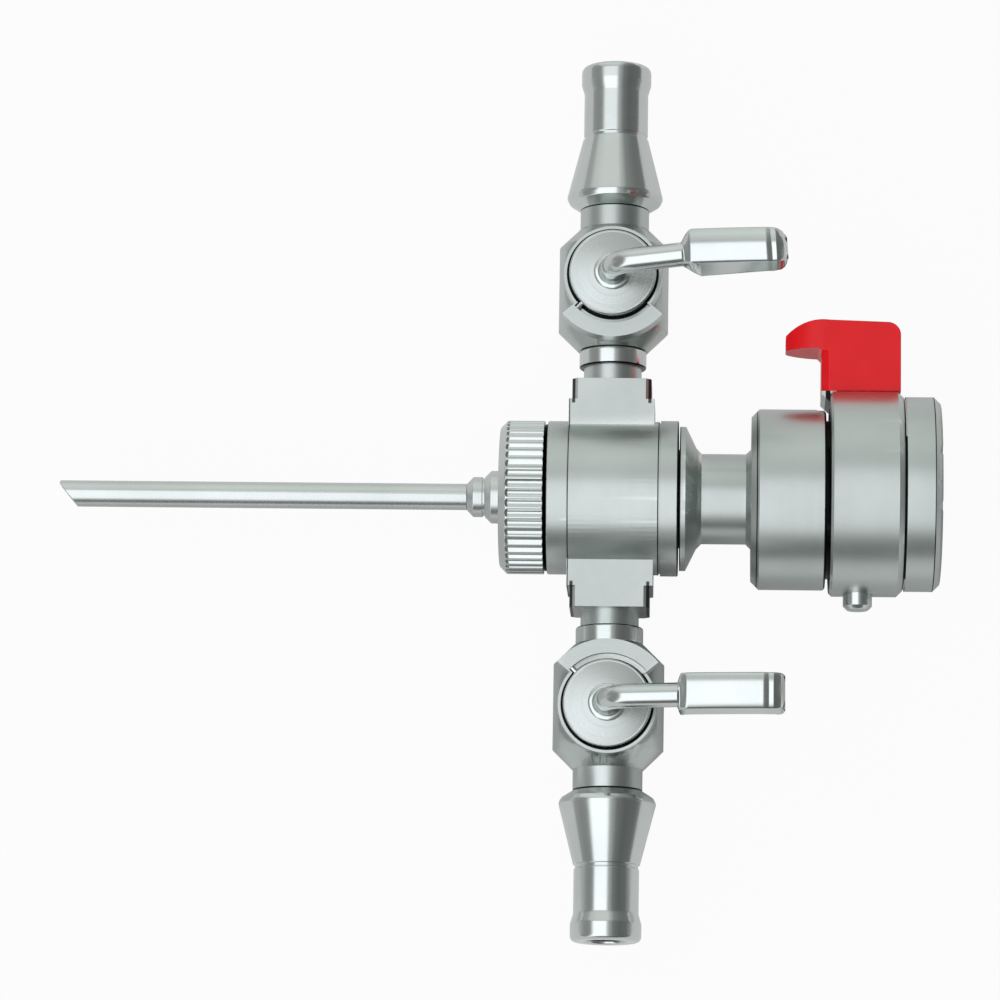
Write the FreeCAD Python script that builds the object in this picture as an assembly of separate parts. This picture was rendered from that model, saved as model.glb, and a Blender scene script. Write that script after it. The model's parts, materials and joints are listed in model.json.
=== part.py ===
import FreeCAD, Part
import math
import os

V = FreeCAD.Vector

# Frame: the origin is the seat of the telescope socket, on the tube's axis.
# +X runs back towards the telescope, +Y to the upper stopcock, +Z up on the table.
# All sizes are millimetres and degrees. "dia" is a diameter, "bore" an inside diameter.

# Clearances
turning_fit = 0.05        # radial, between pieces that turn or slide on each other
seated_fit = 0.02         # radial, between pieces soldered, screwed or pressed together
face_gap = 0.1            # between faces that slide past each other

# Sheath tube and its ferrule
tube_dia = 4.0
tube_wall = 0.4
tube_seat_step = 0.2     # radial, where the tube's end is turned down for the ferrule
working_length = 62.1     # from the ferrule's nose to the tip
tip_slant_length = 2.7
tip_square_height = 0.75  # of the blunt stretch at the tip's long side
ferrule_nose_dia = 6.1
ferrule_nose_length = 2.75
ferrule_groove_width = 0.35
ferrule_groove_depth = 0.2
ferrule_shoulder_step = 0.95
ferrule_shoulder_length = 2.35
ferrule_flange_thickness = 1.4
ferrule_flange_step = 1.7
ferrule_spigot_length = 5.0
ferrule_spigot_wall = 1.3

# Swivel: core, drum and nut
core_bore = 5.0
journal_dia = 15.0
drum_wall = 4.1
drum_length = 19.8
drum_front_to_ports = 9.6
thread_step = 1.5         # the nut's thread is this much under the journal, radially
nut_length = 7.1
nut_front_wall = 1.6
nut_edge = 1.1            # chamfer of the nut's front edge
flute_count = 48
flute_width = 0.95        # at the nut's outside
flute_floor_width = 0.35
flute_depth = 0.4
flute_start = 1.4         # from the nut's front face
flute_run_in = 0.6        # sloping end of each flute
flute_feather = 0.02      # the slope starts this far over the nut's outside
band_front_length = 3.1
band_rear_length = 2.7
band_groove_width = 0.25
band_groove_depth = 0.2
band_rear_rise = 0.15
band_edge = 0.15
water_groove_width = 5.0
water_groove_depth = 1.6
water_port_dia = 3.0
water_port_count = 4
oring_section = 1.3
oring_flat_share = 0.42   # of the squeezed section left flat
oring_gland_width = 1.9
oring_offset = 6.2        # of each gland from the ports

# Ears of the drum
ear_width = 12.0
ear_depth = 10.6
ear_height = 5.9          # above the drum's surface
ear_corner = 0.85
ear_foot_width = 13.0
ear_foot_height = 2.7
neck_dia = 8.8
neck_length = 2.5
neck_port_dia = 4.0
stud_dia = 6.6
stud_length = 4.5

# Bridge between the drum and the coupling
bridge_length = 10.8
bridge_flange_dia = 21.9
bridge_flange_rim = 0.9
bridge_cone_length = 1.6
bridge_neck_dia = 13.7
bridge_flare = 0.8
core_spigot_dia = 11.0
core_spigot_length = 5.5

# Coupling body
hub_dia = 27.4
hub_length = 11.2
hub_front_chamfer = 1.2
hub_rear_chamfer = 0.3
hub_to_ring_gap = 0.6
boss_dia = 24.0
boss_flat_depth = 1.6
socket_bore = 12.4
socket_depth = 10.0
latch_recess_step = 0.9   # the recess for the telescope's locking flange, radially over the socket
latch_recess_depth = 2.0
seal_bore = 2.4
seal_dia = 9.0
seal_thickness = 2.2
seal_nut_thickness = 0.8
seal_nut_bore = 4.6

# Latch
latch_travel = 2.0
latch_hold = 0.85         # how far the latch plate covers the locking flange
ring_length = 11.1
ring_wall = 2.5
ring_chamfer = 0.9
ring_seat_drop = 0.6      # of the pad's flat seat under the ring's outside
cover_length = 5.6
cover_step = 0.85
cover_chamfer = 1.0
cover_plate = 1.8
cover_mouth_flare = 3.2
cover_groove = 0.3
cover_screw_dia = 1.2
cover_screw_head_dia = 2.1
cover_screw_length = 6.5
cover_screw_sink = 0.1    # of the head under the cover's face
cover_screw_side = 1.9    # from the ring's inner flat
cover_screw_spread = 4.0
spring_dia = 3.0
spring_wire = 0.45        # side of the flat-sided wire
spring_turns = 4
spring_spread = 5.0
spring_pocket_gap = 0.15
spring_pocket_depth = 3.9
spring_seat_depth = 0.6
guide_pin_dia = 4.4
guide_pin_forward = 1.2   # of the ring's middle
guide_pin_stand = 2.3     # past the ring at rest
guide_pin_thread_depth = 3.5
guide_pin_chamfer = 0.6
pad_depth = 9.0
pad_height = 11.1
pad_overhang = 1.3        # over the gap in front of the ring
pad_rear_inset = 0.4      # from the ring's rear face
pad_nose_reach = 5.4
pad_nose_underside = 6.8  # over the pad's foot
pad_nose_front_height = 2.3
pad_nose_root = 0.5       # small slope under the nose's root
pad_nose_bulge = 0.75     # of the curve from the nose up to the crown
pad_nose_flat_share = 0.35    # of the pad's depth, left blunt at the nose
pad_nose_turn_share = 0.42    # how far back the plan's curve is still at
pad_nose_turn_width = 0.83    # this share of the depth
pad_nose_front_bulge = 0.15
pad_edge = 1.1
pad_crown_back = 2.0      # of the rounded corner at the top's rear
pad_crown_slope = 0.3     # the top falls this much towards the rear
pad_lug_height = 1.7
pad_lug_tip_height = 0.5
pad_screw_dia = 1.6
pad_screw_head_dia = 3.0
pad_screw_head_height = 1.0
pad_screw_grip = 4.0
pad_screw_sink = 0.1      # of the head in its hole
pad_screw_spread = 3.0

# Stopcocks
collar_dia = 10.2
collar_length = 2.6
collar_edge = 0.3
neck_seal_thickness = 0.6
barrel_gap = 0.1          # from the collar to the barrel
barrel_length = 18.9
barrel_chamfer = 3.0
plug_inset = 10.15        # from the barrel's inner end to the plug's axis
barrel_side_wall = 1.45   # outside the recess of the plug's disc
disc_dia = 13.2
disc_gap = 0.3
disc_thickness = 2.6
disc_stand = 1.2          # above the lip
disc_edge = 0.25
lip_wall = 0.5
lip_rise = 0.65           # above the barrel
plug_top_dia = 11.2
plug_taper = 0.7          # the plug's radius lost from top to bottom
cock_port_dia = 4.0
stop_sector_reach = 1.45  # outside the barrel
stop_sector_rise = 0.35   # over the lip's top
stop_wall_angle = 1.6
stop_pin_dia = 0.8
stop_pin_reach = 1.0
stop_slot_depth = 1.5
lever_turn = 90.0
foot_boss_dia = 12.0
foot_boss_drop = 0.65     # under the barrel
tail_dia = 3.2
keeper_dia = 10.4
keeper_thickness = 0.6
spring_washer_dia = 9.2
spring_washer_rise = 0.9
spring_washer_sheet = 0.4
spring_washer_flat = 0.6  # round its hole
cap_nut_dia = 9.0
cap_nut_height = 2.4
cap_nut_edge = 0.4
cap_nut_slot_width = 1.2
cap_nut_slot_depth = 0.8

# Levers
rod_dia = 3.4
rod_height = 9.1          # of its axis over the disc
rod_bend = 3.4
rod_spigot_dia = 2.6
rod_spigot_depth = 4.0
lever_foot_dia = 5.5
lever_foot_height = 0.7
lever_lean = 3.0          # from square at rest, as the levers are fitted
paddle_start = 10.5
paddle_length = 15.9
paddle_width = 6.4
paddle_thickness = 3.8
paddle_corner = 1.9
paddle_neck = 0.9
paddle_bevel = 1.7

# Hose barbs
outer_neck_dia = 10.5
outer_neck_length = 3.2
barb_spigot_dia = 6.8
barb_spigot_length = 3.0
barb_bore = 6.2
barb_base_dia = 14.7
barb_base_rise = 1.9
barb_base_round = 0.8
barb_cone_length = 9.2
barb_pipe_dia = 9.8
barb_pipe_length = 7.4
barb_bead_step = 0.45
barb_bead_length = 4.2
barb_bead_round = 0.9

# Places along the tube's axis
seat_x = 0.0
boss_rear_x = seat_x + socket_depth + latch_recess_depth
ring_rear_x = boss_rear_x + face_gap
ring_front_x = ring_rear_x - ring_length
hub_rear_x = ring_front_x - hub_to_ring_gap
hub_front_x = hub_rear_x - hub_length
flange_front_x = hub_front_x - bridge_length
drum_rear_x = flange_front_x - 2 * face_gap
drum_front_x = drum_rear_x - drum_length
cock_x = drum_front_x + drum_front_to_ports
nut_rear_x = drum_front_x - face_gap
nut_front_x = nut_rear_x - nut_length
ferrule_flange_front_x = nut_front_x + nut_front_wall
core_front_x = ferrule_flange_front_x + ferrule_flange_thickness
ferrule_nose_x = nut_front_x - ferrule_shoulder_length - ferrule_nose_length
tip_x = ferrule_nose_x - working_length
cover_rear_x = ring_rear_x + cover_length

# Radii worked out from the sizes above
tube_r = tube_dia / 2
tube_seat_r = tube_r - tube_seat_step
ferrule_nose_r = ferrule_nose_dia / 2
ferrule_shoulder_r = ferrule_nose_r + ferrule_shoulder_step
ferrule_flange_r = ferrule_shoulder_r + ferrule_flange_step
journal_r = journal_dia / 2
thread_r = journal_r - thread_step
drum_bore_r = journal_r + turning_fit
drum_r = drum_bore_r + drum_wall
boss_r = boss_dia / 2
boss_flat = boss_r - boss_flat_depth
latch_rest = latch_travel / 2
ring_slot_r = boss_r + turning_fit
ring_slot_half = latch_rest + turning_fit
ring_r = ring_slot_r + ring_slot_half + ring_wall
cover_r = ring_r - cover_step
socket_r = socket_bore / 2
latch_recess_r = socket_r + latch_recess_step
latch_hole_r = latch_recess_r + latch_rest - latch_hold
disc_r = disc_dia / 2
disc_recess_r = disc_r + disc_gap
barrel_r = disc_recess_r + barrel_side_wall

# Places along a stopcock, out from the tube's axis
ear_end_y = drum_r + ear_height
neck_end_y = ear_end_y + neck_length
collar_end_y = neck_end_y + collar_length
barrel_start_y = collar_end_y + barrel_gap
barrel_end_y = barrel_start_y + barrel_length
plug_y = barrel_start_y + plug_inset
outer_neck_end_y = barrel_end_y + outer_neck_length
barb_cone_end_y = outer_neck_end_y + barb_base_rise + barb_cone_length
bead_start_y = barb_cone_end_y + barb_pipe_length
barb_end_y = bead_start_y + barb_bead_length

# Heights on a stopcock, from the tube's axis
lip_top_z = barrel_r + lip_rise
disc_top_z = lip_top_z + disc_stand
disc_under_z = disc_top_z - disc_thickness
foot_z = -(barrel_r + foot_boss_drop)
rod_z = disc_top_z + rod_height


def turned(outline):
    # Solid of revolution about X from (along, radius) corners
    corners = [V(along, radius, 0) for along, radius in outline]
    face = Part.Face(Part.makePolygon(corners + [corners[0]]))
    return face.revolve(V(0, 0, 0), V(1, 0, 0), 360)


def on_y(shape, x, y=0.0):
    # Stands a shape made along X on the Y direction
    shape.rotate(V(0, 0, 0), V(0, 0, 1), 90)
    shape.translate(V(x, y, 0))
    return shape


def on_z(shape, x, y):
    # Stands a shape made along X on the Z direction
    shape.rotate(V(0, 0, 0), V(0, 1, 0), -90)
    shape.translate(V(x, y, 0))
    return shape


def rod(radius, start, end):
    # Round bar between two points
    return Part.makeCylinder(radius, (end - start).Length, start, end - start)


def block(x0, x1, y0, y1, z0, z1):
    return Part.makeBox(x1 - x0, y1 - y0, z1 - z0, V(x0, y0, z0))


def slab(corners, depth):
    # Flat outline in X and Y, given the same depth to both sides of the XY plane
    points = [V(x, y, -depth / 2) for x, y in corners]
    face = Part.Face(Part.makePolygon(points + [points[0]]))
    return face.extrude(V(0, 0, depth))


def circles_at(shape, radius, along, axis):
    # Round edges of one radius at one place along an axis
    found = []
    for edge in shape.Edges:
        curve = edge.Curve
        if not isinstance(curve, Part.Circle) or abs(curve.Radius - radius) > 1e-4:
            continue
        if abs(curve.Center.dot(axis) - along) < 1e-4:
            found.append(edge)
    return found


def single(shape):
    # The one solid that a boolean result holds
    merged = shape.removeSplitter()
    return merged.Solids[0]


def sheath_tube():
    bore_r = tube_r - tube_wall
    rear_x = core_front_x
    shoulder_x = ferrule_nose_x - seated_fit
    outside = rod(tube_r, V(tip_x, 0, 0), V(shoulder_x, 0, 0))
    seat = rod(tube_seat_r, V(tip_x + tip_slant_length + tube_dia, 0, 0), V(rear_x, 0, 0))
    inside = rod(bore_r, V(tip_x - 1, 0, 0), V(rear_x + 1, 0, 0))
    square_y = tube_r - tip_square_height
    beyond = tip_slant_length / (square_y + tube_r)
    low_y = -tube_r - 1
    slant = slab([(tip_x, square_y), (tip_x + tip_slant_length + beyond, low_y),
                  (tip_x - 1, low_y), (tip_x - 1, square_y)], tube_dia + 2)
    return single(outside.fuse(seat).cut([inside, slant]))


def tube_ferrule():
    hole_r = tube_seat_r + seated_fit
    nose_end_x = ferrule_nose_x + ferrule_nose_length
    groove_start_x = nose_end_x - ferrule_groove_width
    groove_r = ferrule_nose_r - ferrule_groove_depth
    nose_cone = ferrule_nose_r - hole_r - ferrule_groove_depth
    spigot_r = core_bore / 2 + ferrule_spigot_wall
    spigot_end_x = core_front_x + ferrule_spigot_length
    return turned([
        (ferrule_nose_x, hole_r),
        (ferrule_nose_x, hole_r + ferrule_groove_depth),
        (ferrule_nose_x + nose_cone, ferrule_nose_r),
        (groove_start_x, ferrule_nose_r),
        (groove_start_x, groove_r),
        (nose_end_x, groove_r),
        (nose_end_x, ferrule_nose_r),
        (nose_end_x + ferrule_shoulder_step, ferrule_shoulder_r),
        (ferrule_flange_front_x, ferrule_shoulder_r),
        (ferrule_flange_front_x, ferrule_flange_r),
        (core_front_x, ferrule_flange_r),
        (core_front_x, spigot_r),
        (spigot_end_x, spigot_r),
        (spigot_end_x, core_bore / 2),
        (core_front_x, core_bore / 2),
        (core_front_x, hole_r)])


def flute_section(x, depth):
    # Trapezium across one flute, widening past the nut's outside
    slope = (flute_width - flute_floor_width) / 2 / flute_depth
    over = flute_depth
    floor_half = flute_floor_width / 2
    top_half = floor_half + slope * (depth + over)
    floor_r = drum_r - depth
    corners = [V(x, floor_r, -floor_half), V(x, floor_r, floor_half),
               V(x, drum_r + over, top_half), V(x, drum_r + over, -top_half)]
    return Part.makePolygon(corners + [corners[0]])


def nut_flute(turn):
    # Tapered groove that runs in on a slope and is open at the nut's rear face
    start_x = nut_front_x + flute_start
    full_x = start_x + flute_run_in
    ends = [flute_section(start_x, -flute_feather), flute_section(full_x, flute_depth)]
    run_in = Part.makeLoft(ends, True, True)
    groove = Part.Face(flute_section(full_x, flute_depth)).extrude(V(nut_rear_x + 1 - full_x, 0, 0))
    flute = run_in.fuse(groove)
    flute.rotate(V(0, 0, 0), V(1, 0, 0), turn)
    return flute


def knurled_nut():
    hole_r = ferrule_shoulder_r + turning_fit
    inside_r = thread_r + turning_fit
    body = turned([
        (nut_front_x, hole_r),
        (nut_front_x, drum_r - nut_edge),
        (nut_front_x + nut_edge, drum_r),
        (nut_rear_x - face_gap, drum_r),
        (nut_rear_x, drum_r - face_gap),
        (nut_rear_x, inside_r),
        (ferrule_flange_front_x, inside_r),
        (ferrule_flange_front_x, hole_r)])
    flutes = [nut_flute(i * 360 / flute_count) for i in range(flute_count)]
    return single(body.cut(flutes))


def swivel_core():
    inside_r = core_bore / 2
    spigot_hole_r = inside_r + ferrule_spigot_wall + seated_fit
    spigot_hole_x = core_front_x + ferrule_spigot_length + seated_fit
    flange_r = bridge_flange_dia / 2
    neck_r = bridge_neck_dia / 2
    rim_end_x = flange_front_x + bridge_flange_rim
    cone_end_x = rim_end_x + bridge_cone_length
    spigot_end_x = hub_front_x + core_spigot_length
    body = turned([
        (core_front_x, spigot_hole_r),
        (core_front_x, thread_r),
        (nut_rear_x, thread_r),
        (nut_rear_x, journal_r),
        (flange_front_x, journal_r),
        (flange_front_x, flange_r),
        (rim_end_x, flange_r),
        (cone_end_x, neck_r + bridge_flare),
        (cone_end_x + bridge_flare, neck_r),
        (hub_front_x - bridge_flare, neck_r),
        (hub_front_x, neck_r + bridge_flare),
        (hub_front_x, core_spigot_dia / 2),
        (spigot_end_x, core_spigot_dia / 2),
        (spigot_end_x, inside_r),
        (spigot_hole_x, inside_r),
        (spigot_hole_x, spigot_hole_r)])
    groove = ring_about_x(cock_x, water_groove_width, journal_r - water_groove_depth, journal_r + 1)
    glands = [ring_about_x(x, oring_gland_width, gland_r(), journal_r + 1) for x in oring_places()]
    ports = []
    for i in range(water_port_count):
        port = rod(water_port_dia / 2, V(cock_x, 0, 0), V(cock_x, journal_r + 1, 0))
        port.rotate(V(0, 0, 0), V(1, 0, 0), i * 360 / water_port_count)
        ports.append(port)
    return single(body.cut([groove] + glands + ports))


def ring_about_x(middle_x, width, inner_r, outer_r):
    # Square-sided ring about the tube's axis
    return turned([(middle_x - width / 2, inner_r), (middle_x + width / 2, inner_r),
                   (middle_x + width / 2, outer_r), (middle_x - width / 2, outer_r)])


def gland_r():
    return drum_bore_r - oring_section - seated_fit


def oring_places():
    return [cock_x - oring_offset, cock_x + oring_offset]


def swivel_oring(x):
    # O-ring as it sits squeezed in its gland, flattened inside and out
    half = oring_section / 2 - seated_fit
    flat = oring_flat_share * half
    middle_r = (gland_r() + drum_bore_r) / 2
    return turned([(x - half, middle_r - flat), (x - flat, middle_r - half),
                   (x + flat, middle_r - half), (x + half, middle_r - flat),
                   (x + half, middle_r + flat), (x + flat, middle_r + half),
                   (x - flat, middle_r + half), (x - half, middle_r + flat)])


def drum_shell():
    # Turned outside with a plain band at each end, set off by a narrow groove
    front_band_x = drum_front_x + band_front_length
    rear_band_x = drum_rear_x - band_rear_length
    groove_r = drum_r - band_groove_depth
    rear_r = drum_r + band_rear_rise
    return turned([
        (drum_front_x, drum_bore_r),
        (drum_front_x, drum_r - band_edge),
        (drum_front_x + band_edge, drum_r),
        (front_band_x, drum_r),
        (front_band_x, groove_r),
        (front_band_x + band_groove_width, groove_r),
        (front_band_x + band_groove_width, drum_r),
        (rear_band_x - band_groove_width, drum_r),
        (rear_band_x - band_groove_width, groove_r),
        (rear_band_x, groove_r),
        (rear_band_x, rear_r),
        (drum_rear_x - band_edge, rear_r),
        (drum_rear_x, rear_r - band_edge),
        (drum_rear_x, drum_bore_r)])


def drum_ear(side):
    # Milled block with a wider foot, the outlet's neck and its screwed stud
    half = ear_width / 2
    foot_half = ear_foot_width / 2
    foot_top_y = drum_r + ear_foot_height
    foot = block(cock_x - foot_half, cock_x + foot_half, drum_bore_r, foot_top_y,
                 -ear_depth / 2, ear_depth / 2)
    post = block(cock_x - half, cock_x + half, drum_bore_r, ear_end_y,
                 -ear_depth / 2, ear_depth / 2)
    uprights = [e for e in post.Edges if abs(e.tangentAt(e.FirstParameter).y) > 0.99]
    post = post.makeChamfer(ear_corner, uprights)
    neck = rod(neck_dia / 2, V(cock_x, ear_end_y - 1, 0), V(cock_x, neck_end_y, 0))
    stud = rod(stud_dia / 2, V(cock_x, neck_end_y - 1, 0), V(cock_x, neck_end_y + stud_length, 0))
    ear = foot.fuse([post, neck, stud])
    return ear if side > 0 else ear.mirror(V(0, 0, 0), V(0, 1, 0))


def swivel_drum():
    shell = drum_shell().fuse([drum_ear(1), drum_ear(-1)])
    reach = neck_end_y + stud_length + 1
    hollow = rod(drum_bore_r, V(drum_front_x - 1, 0, 0), V(drum_rear_x + 1, 0, 0))
    ports = rod(neck_port_dia / 2, V(cock_x, -reach, 0), V(cock_x, reach, 0))
    return single(shell.cut([hollow, ports]))


def coupling_body():
    # Hub, the flatted boss that carries the lock ring, and the telescope's socket
    hub_r = hub_dia / 2
    gland_front_x = seat_x - seal_thickness - seal_nut_thickness
    spigot_hole_x = hub_front_x + core_spigot_length + seated_fit
    hub = turned([
        (hub_front_x, 0),
        (hub_front_x, hub_r - hub_front_chamfer),
        (hub_front_x + hub_front_chamfer, hub_r),
        (hub_rear_x - hub_rear_chamfer, hub_r),
        (hub_rear_x, hub_r - hub_rear_chamfer),
        (hub_rear_x, 0)])
    thrust = rod(boss_r, V(hub_rear_x - 1, 0, 0), V(ring_front_x - face_gap, 0, 0))
    boss = rod(boss_r, V(hub_rear_x - 1, 0, 0), V(boss_rear_x, 0, 0))
    flats = block(hub_rear_x - 1, boss_rear_x, -boss_r, boss_r, -boss_flat, boss_flat)
    boss = boss.common(flats)
    socket = rod(socket_r, V(seat_x, 0, 0), V(boss_rear_x + 1, 0, 0))
    recess = rod(latch_recess_r, V(seat_x + socket_depth, 0, 0), V(boss_rear_x + 1, 0, 0))
    seal_room = rod(seal_dia / 2 + seated_fit, V(gland_front_x, 0, 0), V(seat_x + 1, 0, 0))
    passage = rod(core_bore / 2, V(hub_front_x - 1, 0, 0), V(seat_x + 1, 0, 0))
    spigot_hole = rod(core_spigot_dia / 2 + seated_fit, V(hub_front_x - 1, 0, 0), V(spigot_hole_x, 0, 0))
    lug_notch = block(ring_front_x - pad_overhang - hub_to_ring_gap, hub_rear_x,
                      boss_r, hub_r + 1, -pad_depth / 2 - face_gap, pad_depth / 2 + face_gap)
    pin_hole = rod(guide_pin_dia / 2 + seated_fit, V(guide_pin_x(), -boss_r - 1, 0),
                   V(guide_pin_x(), -boss_r + guide_pin_thread_depth, 0))
    cuts = [socket, recess, seal_room, passage, spigot_hole, lug_notch, pin_hole] + spring_pockets()
    return single(hub.fuse([thrust, boss]).cut(cuts))


def guide_pin_x():
    return (ring_front_x + ring_rear_x) / 2 - guide_pin_forward


def spring_x():
    return (ring_front_x + ring_rear_x) / 2


def boss_top_at_springs():
    return math.sqrt(boss_r ** 2 - spring_spread ** 2)


def spring_floor_y():
    return boss_top_at_springs() - spring_pocket_depth


def spring_roof_y():
    # Seat inside the lock ring, with the ring at rest
    slot_top = math.sqrt(ring_slot_r ** 2 - spring_spread ** 2) + ring_slot_half
    return latch_rest + slot_top + spring_seat_depth


def spring_pockets():
    pocket_r = spring_dia / 2 + spring_pocket_gap
    return [rod(pocket_r, V(spring_x(), spring_floor_y(), z), V(spring_x(), boss_r + 1, z))
            for z in (-spring_spread, spring_spread)]


def scope_seal():
    front_x = seat_x - seal_thickness - seal_nut_thickness
    return turned([(front_x, seal_bore / 2), (front_x, seal_dia / 2),
                   (front_x + seal_thickness, seal_dia / 2), (front_x + seal_thickness, seal_bore / 2)])


def seal_nut():
    front_x = seat_x - seal_nut_thickness
    return turned([(front_x, seal_nut_bore / 2), (front_x, seal_dia / 2),
                   (seat_x, seal_dia / 2), (seat_x, seal_nut_bore / 2)])


def ring_slot():
    # Oblong hole of the lock ring: round ends, flat sides that ride on the boss
    ends = []
    for shift in (-ring_slot_half, ring_slot_half):
        ends.append(rod(ring_slot_r, V(ring_front_x - 1, shift, 0), V(ring_rear_x + 1, shift, 0)))
    middle = block(ring_front_x - 1, ring_rear_x + 1, -ring_slot_half, ring_slot_half,
                   -ring_slot_r, ring_slot_r)
    side = boss_flat + turning_fit
    sides = block(ring_front_x - 2, ring_rear_x + 2, -2 * ring_r, 2 * ring_r, -side, side)
    return ends[0].fuse([ends[1], middle]).common(sides)


def lock_ring():
    # Modelled about its own middle, then lifted to where the springs hold it
    half_edge = ring_chamfer / 2
    body = turned([
        (ring_front_x, 0),
        (ring_front_x, ring_r - half_edge),
        (ring_front_x + half_edge, ring_r),
        (ring_rear_x - ring_chamfer, ring_r),
        (ring_rear_x, ring_r - ring_chamfer),
        (ring_rear_x, 0)])
    seat_y = ring_r - ring_seat_drop
    lug_front_x = ring_front_x - pad_overhang
    lug = slab([
        (ring_front_x, seat_y - pad_lug_height),
        (lug_front_x, seat_y - pad_lug_tip_height),
        (lug_front_x, seat_y),
        (ring_front_x + 1, seat_y),
        (ring_front_x + 1, seat_y - pad_lug_height)], pad_depth)
    flat = block(ring_front_x - 2, ring_rear_x + 1, seat_y, ring_r + 1, -pad_depth / 2, pad_depth / 2)
    pin_hole = rod(guide_pin_dia / 2 + turning_fit, V(guide_pin_x(), -ring_r - 1, 0), V(guide_pin_x(), 0, 0))
    seats = []
    for z in (-spring_spread, spring_spread):
        seats.append(rod(spring_dia / 2 + spring_pocket_gap, V(spring_x(), 0, z),
                         V(spring_x(), spring_roof_y() - latch_rest, z)))
    body = body.fuse(lug).cut([flat, ring_slot(), pin_hole] + seats)
    body = body.cut(pad_screw_shapes(seated_fit) + cover_screw_shapes(seated_fit))
    body = single(body)
    body.translate(V(0, latch_rest, 0))
    return body


def pad_screw_shapes(room):
    # Screws from inside the ring up into the pad, about the ring's own middle
    slot_top = ring_slot_r + ring_slot_half
    middle_x = (ring_front_x + ring_rear_x) / 2
    head_base = slot_top - 1 if room else slot_top + pad_screw_sink
    shapes = []
    for x in (middle_x - pad_screw_spread, middle_x + pad_screw_spread):
        head_top = slot_top + pad_screw_head_height + room
        tip_y = ring_r - ring_seat_drop + pad_screw_grip + room
        head = rod(pad_screw_head_dia / 2 + room, V(x, head_base, 0), V(x, head_top, 0))
        shank = rod(pad_screw_dia / 2 + room, V(x, head_base, 0), V(x, tip_y, 0))
        shapes.append(head.fuse(shank).removeSplitter())
    return shapes


def cover_screw_shapes(room):
    # Countersunk screws through the cover into the ring's thick sides
    side_z = boss_flat + turning_fit + cover_screw_side
    shank_r = cover_screw_dia / 2 + room
    head_r = cover_screw_head_dia / 2 + room
    head_x = cover_rear_x - cover_screw_sink
    cone = head_r - shank_r
    tip_x0 = cover_rear_x - cover_screw_length - room - cover_screw_dia
    outline = [(tip_x0, 0), (tip_x0, shank_r), (head_x - cone, shank_r), (head_x, head_r), (head_x, 0)]
    if room:
        outline = outline[:-1] + [(cover_rear_x + 1, head_r), (cover_rear_x + 1, 0)]
    shapes = []
    for y in (-cover_screw_spread, cover_screw_spread):
        for z in (-side_z, side_z):
            screw = turned(outline)
            screw.translate(V(0, y, z))
            shapes.append(screw)
    return shapes


def raised(shapes):
    group = Part.makeCompound(shapes)
    group.translate(V(0, latch_rest, 0))
    return group


def latch_cover():
    groove_r = cover_r - cover_groove
    plate_end_x = ring_rear_x + cover_plate
    mouth_r = latch_hole_r + cover_mouth_flare
    body = turned([
        (ring_rear_x, 0),
        (ring_rear_x, groove_r),
        (ring_rear_x + cover_groove, groove_r),
        (ring_rear_x + cover_groove, cover_r),
        (cover_rear_x - cover_chamfer, cover_r),
        (cover_rear_x, cover_r - cover_chamfer),
        (cover_rear_x, 0)])
    mouth = turned([(plate_end_x, 0), (plate_end_x, latch_hole_r), (cover_rear_x, mouth_r),
                    (cover_rear_x + 1, mouth_r), (cover_rear_x + 1, 0)])
    hole = rod(latch_hole_r, V(ring_rear_x - 1, 0, 0), V(cover_rear_x, 0, 0))
    high_hole = hole.copy()
    high_hole.translate(V(0, latch_rest, 0))
    link = block(ring_rear_x - 1, plate_end_x, 0, latch_rest, -latch_hole_r, latch_hole_r)
    high_hole = high_hole.common(block(ring_rear_x - 1, plate_end_x, -ring_r, ring_r, -ring_r, ring_r))
    body = single(body.cut([mouth, hole, high_hole, link] + cover_screw_shapes(seated_fit)))
    body.translate(V(0, latch_rest, 0))
    return body


def spring_coil(z):
    # Compression spring of flat-sided wire between the boss's pocket and the ring's seat
    half = spring_wire / 2
    coil_r = spring_dia / 2 - half
    floor_y = spring_floor_y() + half + seated_fit
    height = spring_roof_y() - half - seated_fit - floor_y
    helix = Part.makeHelix(height / spring_turns, height, coil_r)
    corners = [V(coil_r - half, 0, -half), V(coil_r + half, 0, -half),
               V(coil_r + half, 0, half), V(coil_r - half, 0, half)]
    section = Part.makePolygon(corners + [corners[0]])
    coil = Part.Wire(helix.Edges).makePipeShell([section], True, True)
    coil.rotate(V(0, 0, 0), V(1, 0, 0), -90)
    coil.translate(V(spring_x(), floor_y, z))
    return coil


def guide_pin():
    rest_ring_low = latch_rest - ring_r
    end_y = rest_ring_low - guide_pin_stand
    top_y = -boss_r + guide_pin_thread_depth - seated_fit
    pin_r = guide_pin_dia / 2
    pin = turned([(end_y, 0), (end_y, pin_r - guide_pin_chamfer), (end_y + guide_pin_chamfer, pin_r),
                  (top_y, pin_r), (top_y, 0)])
    return on_y(pin, guide_pin_x())


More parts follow.
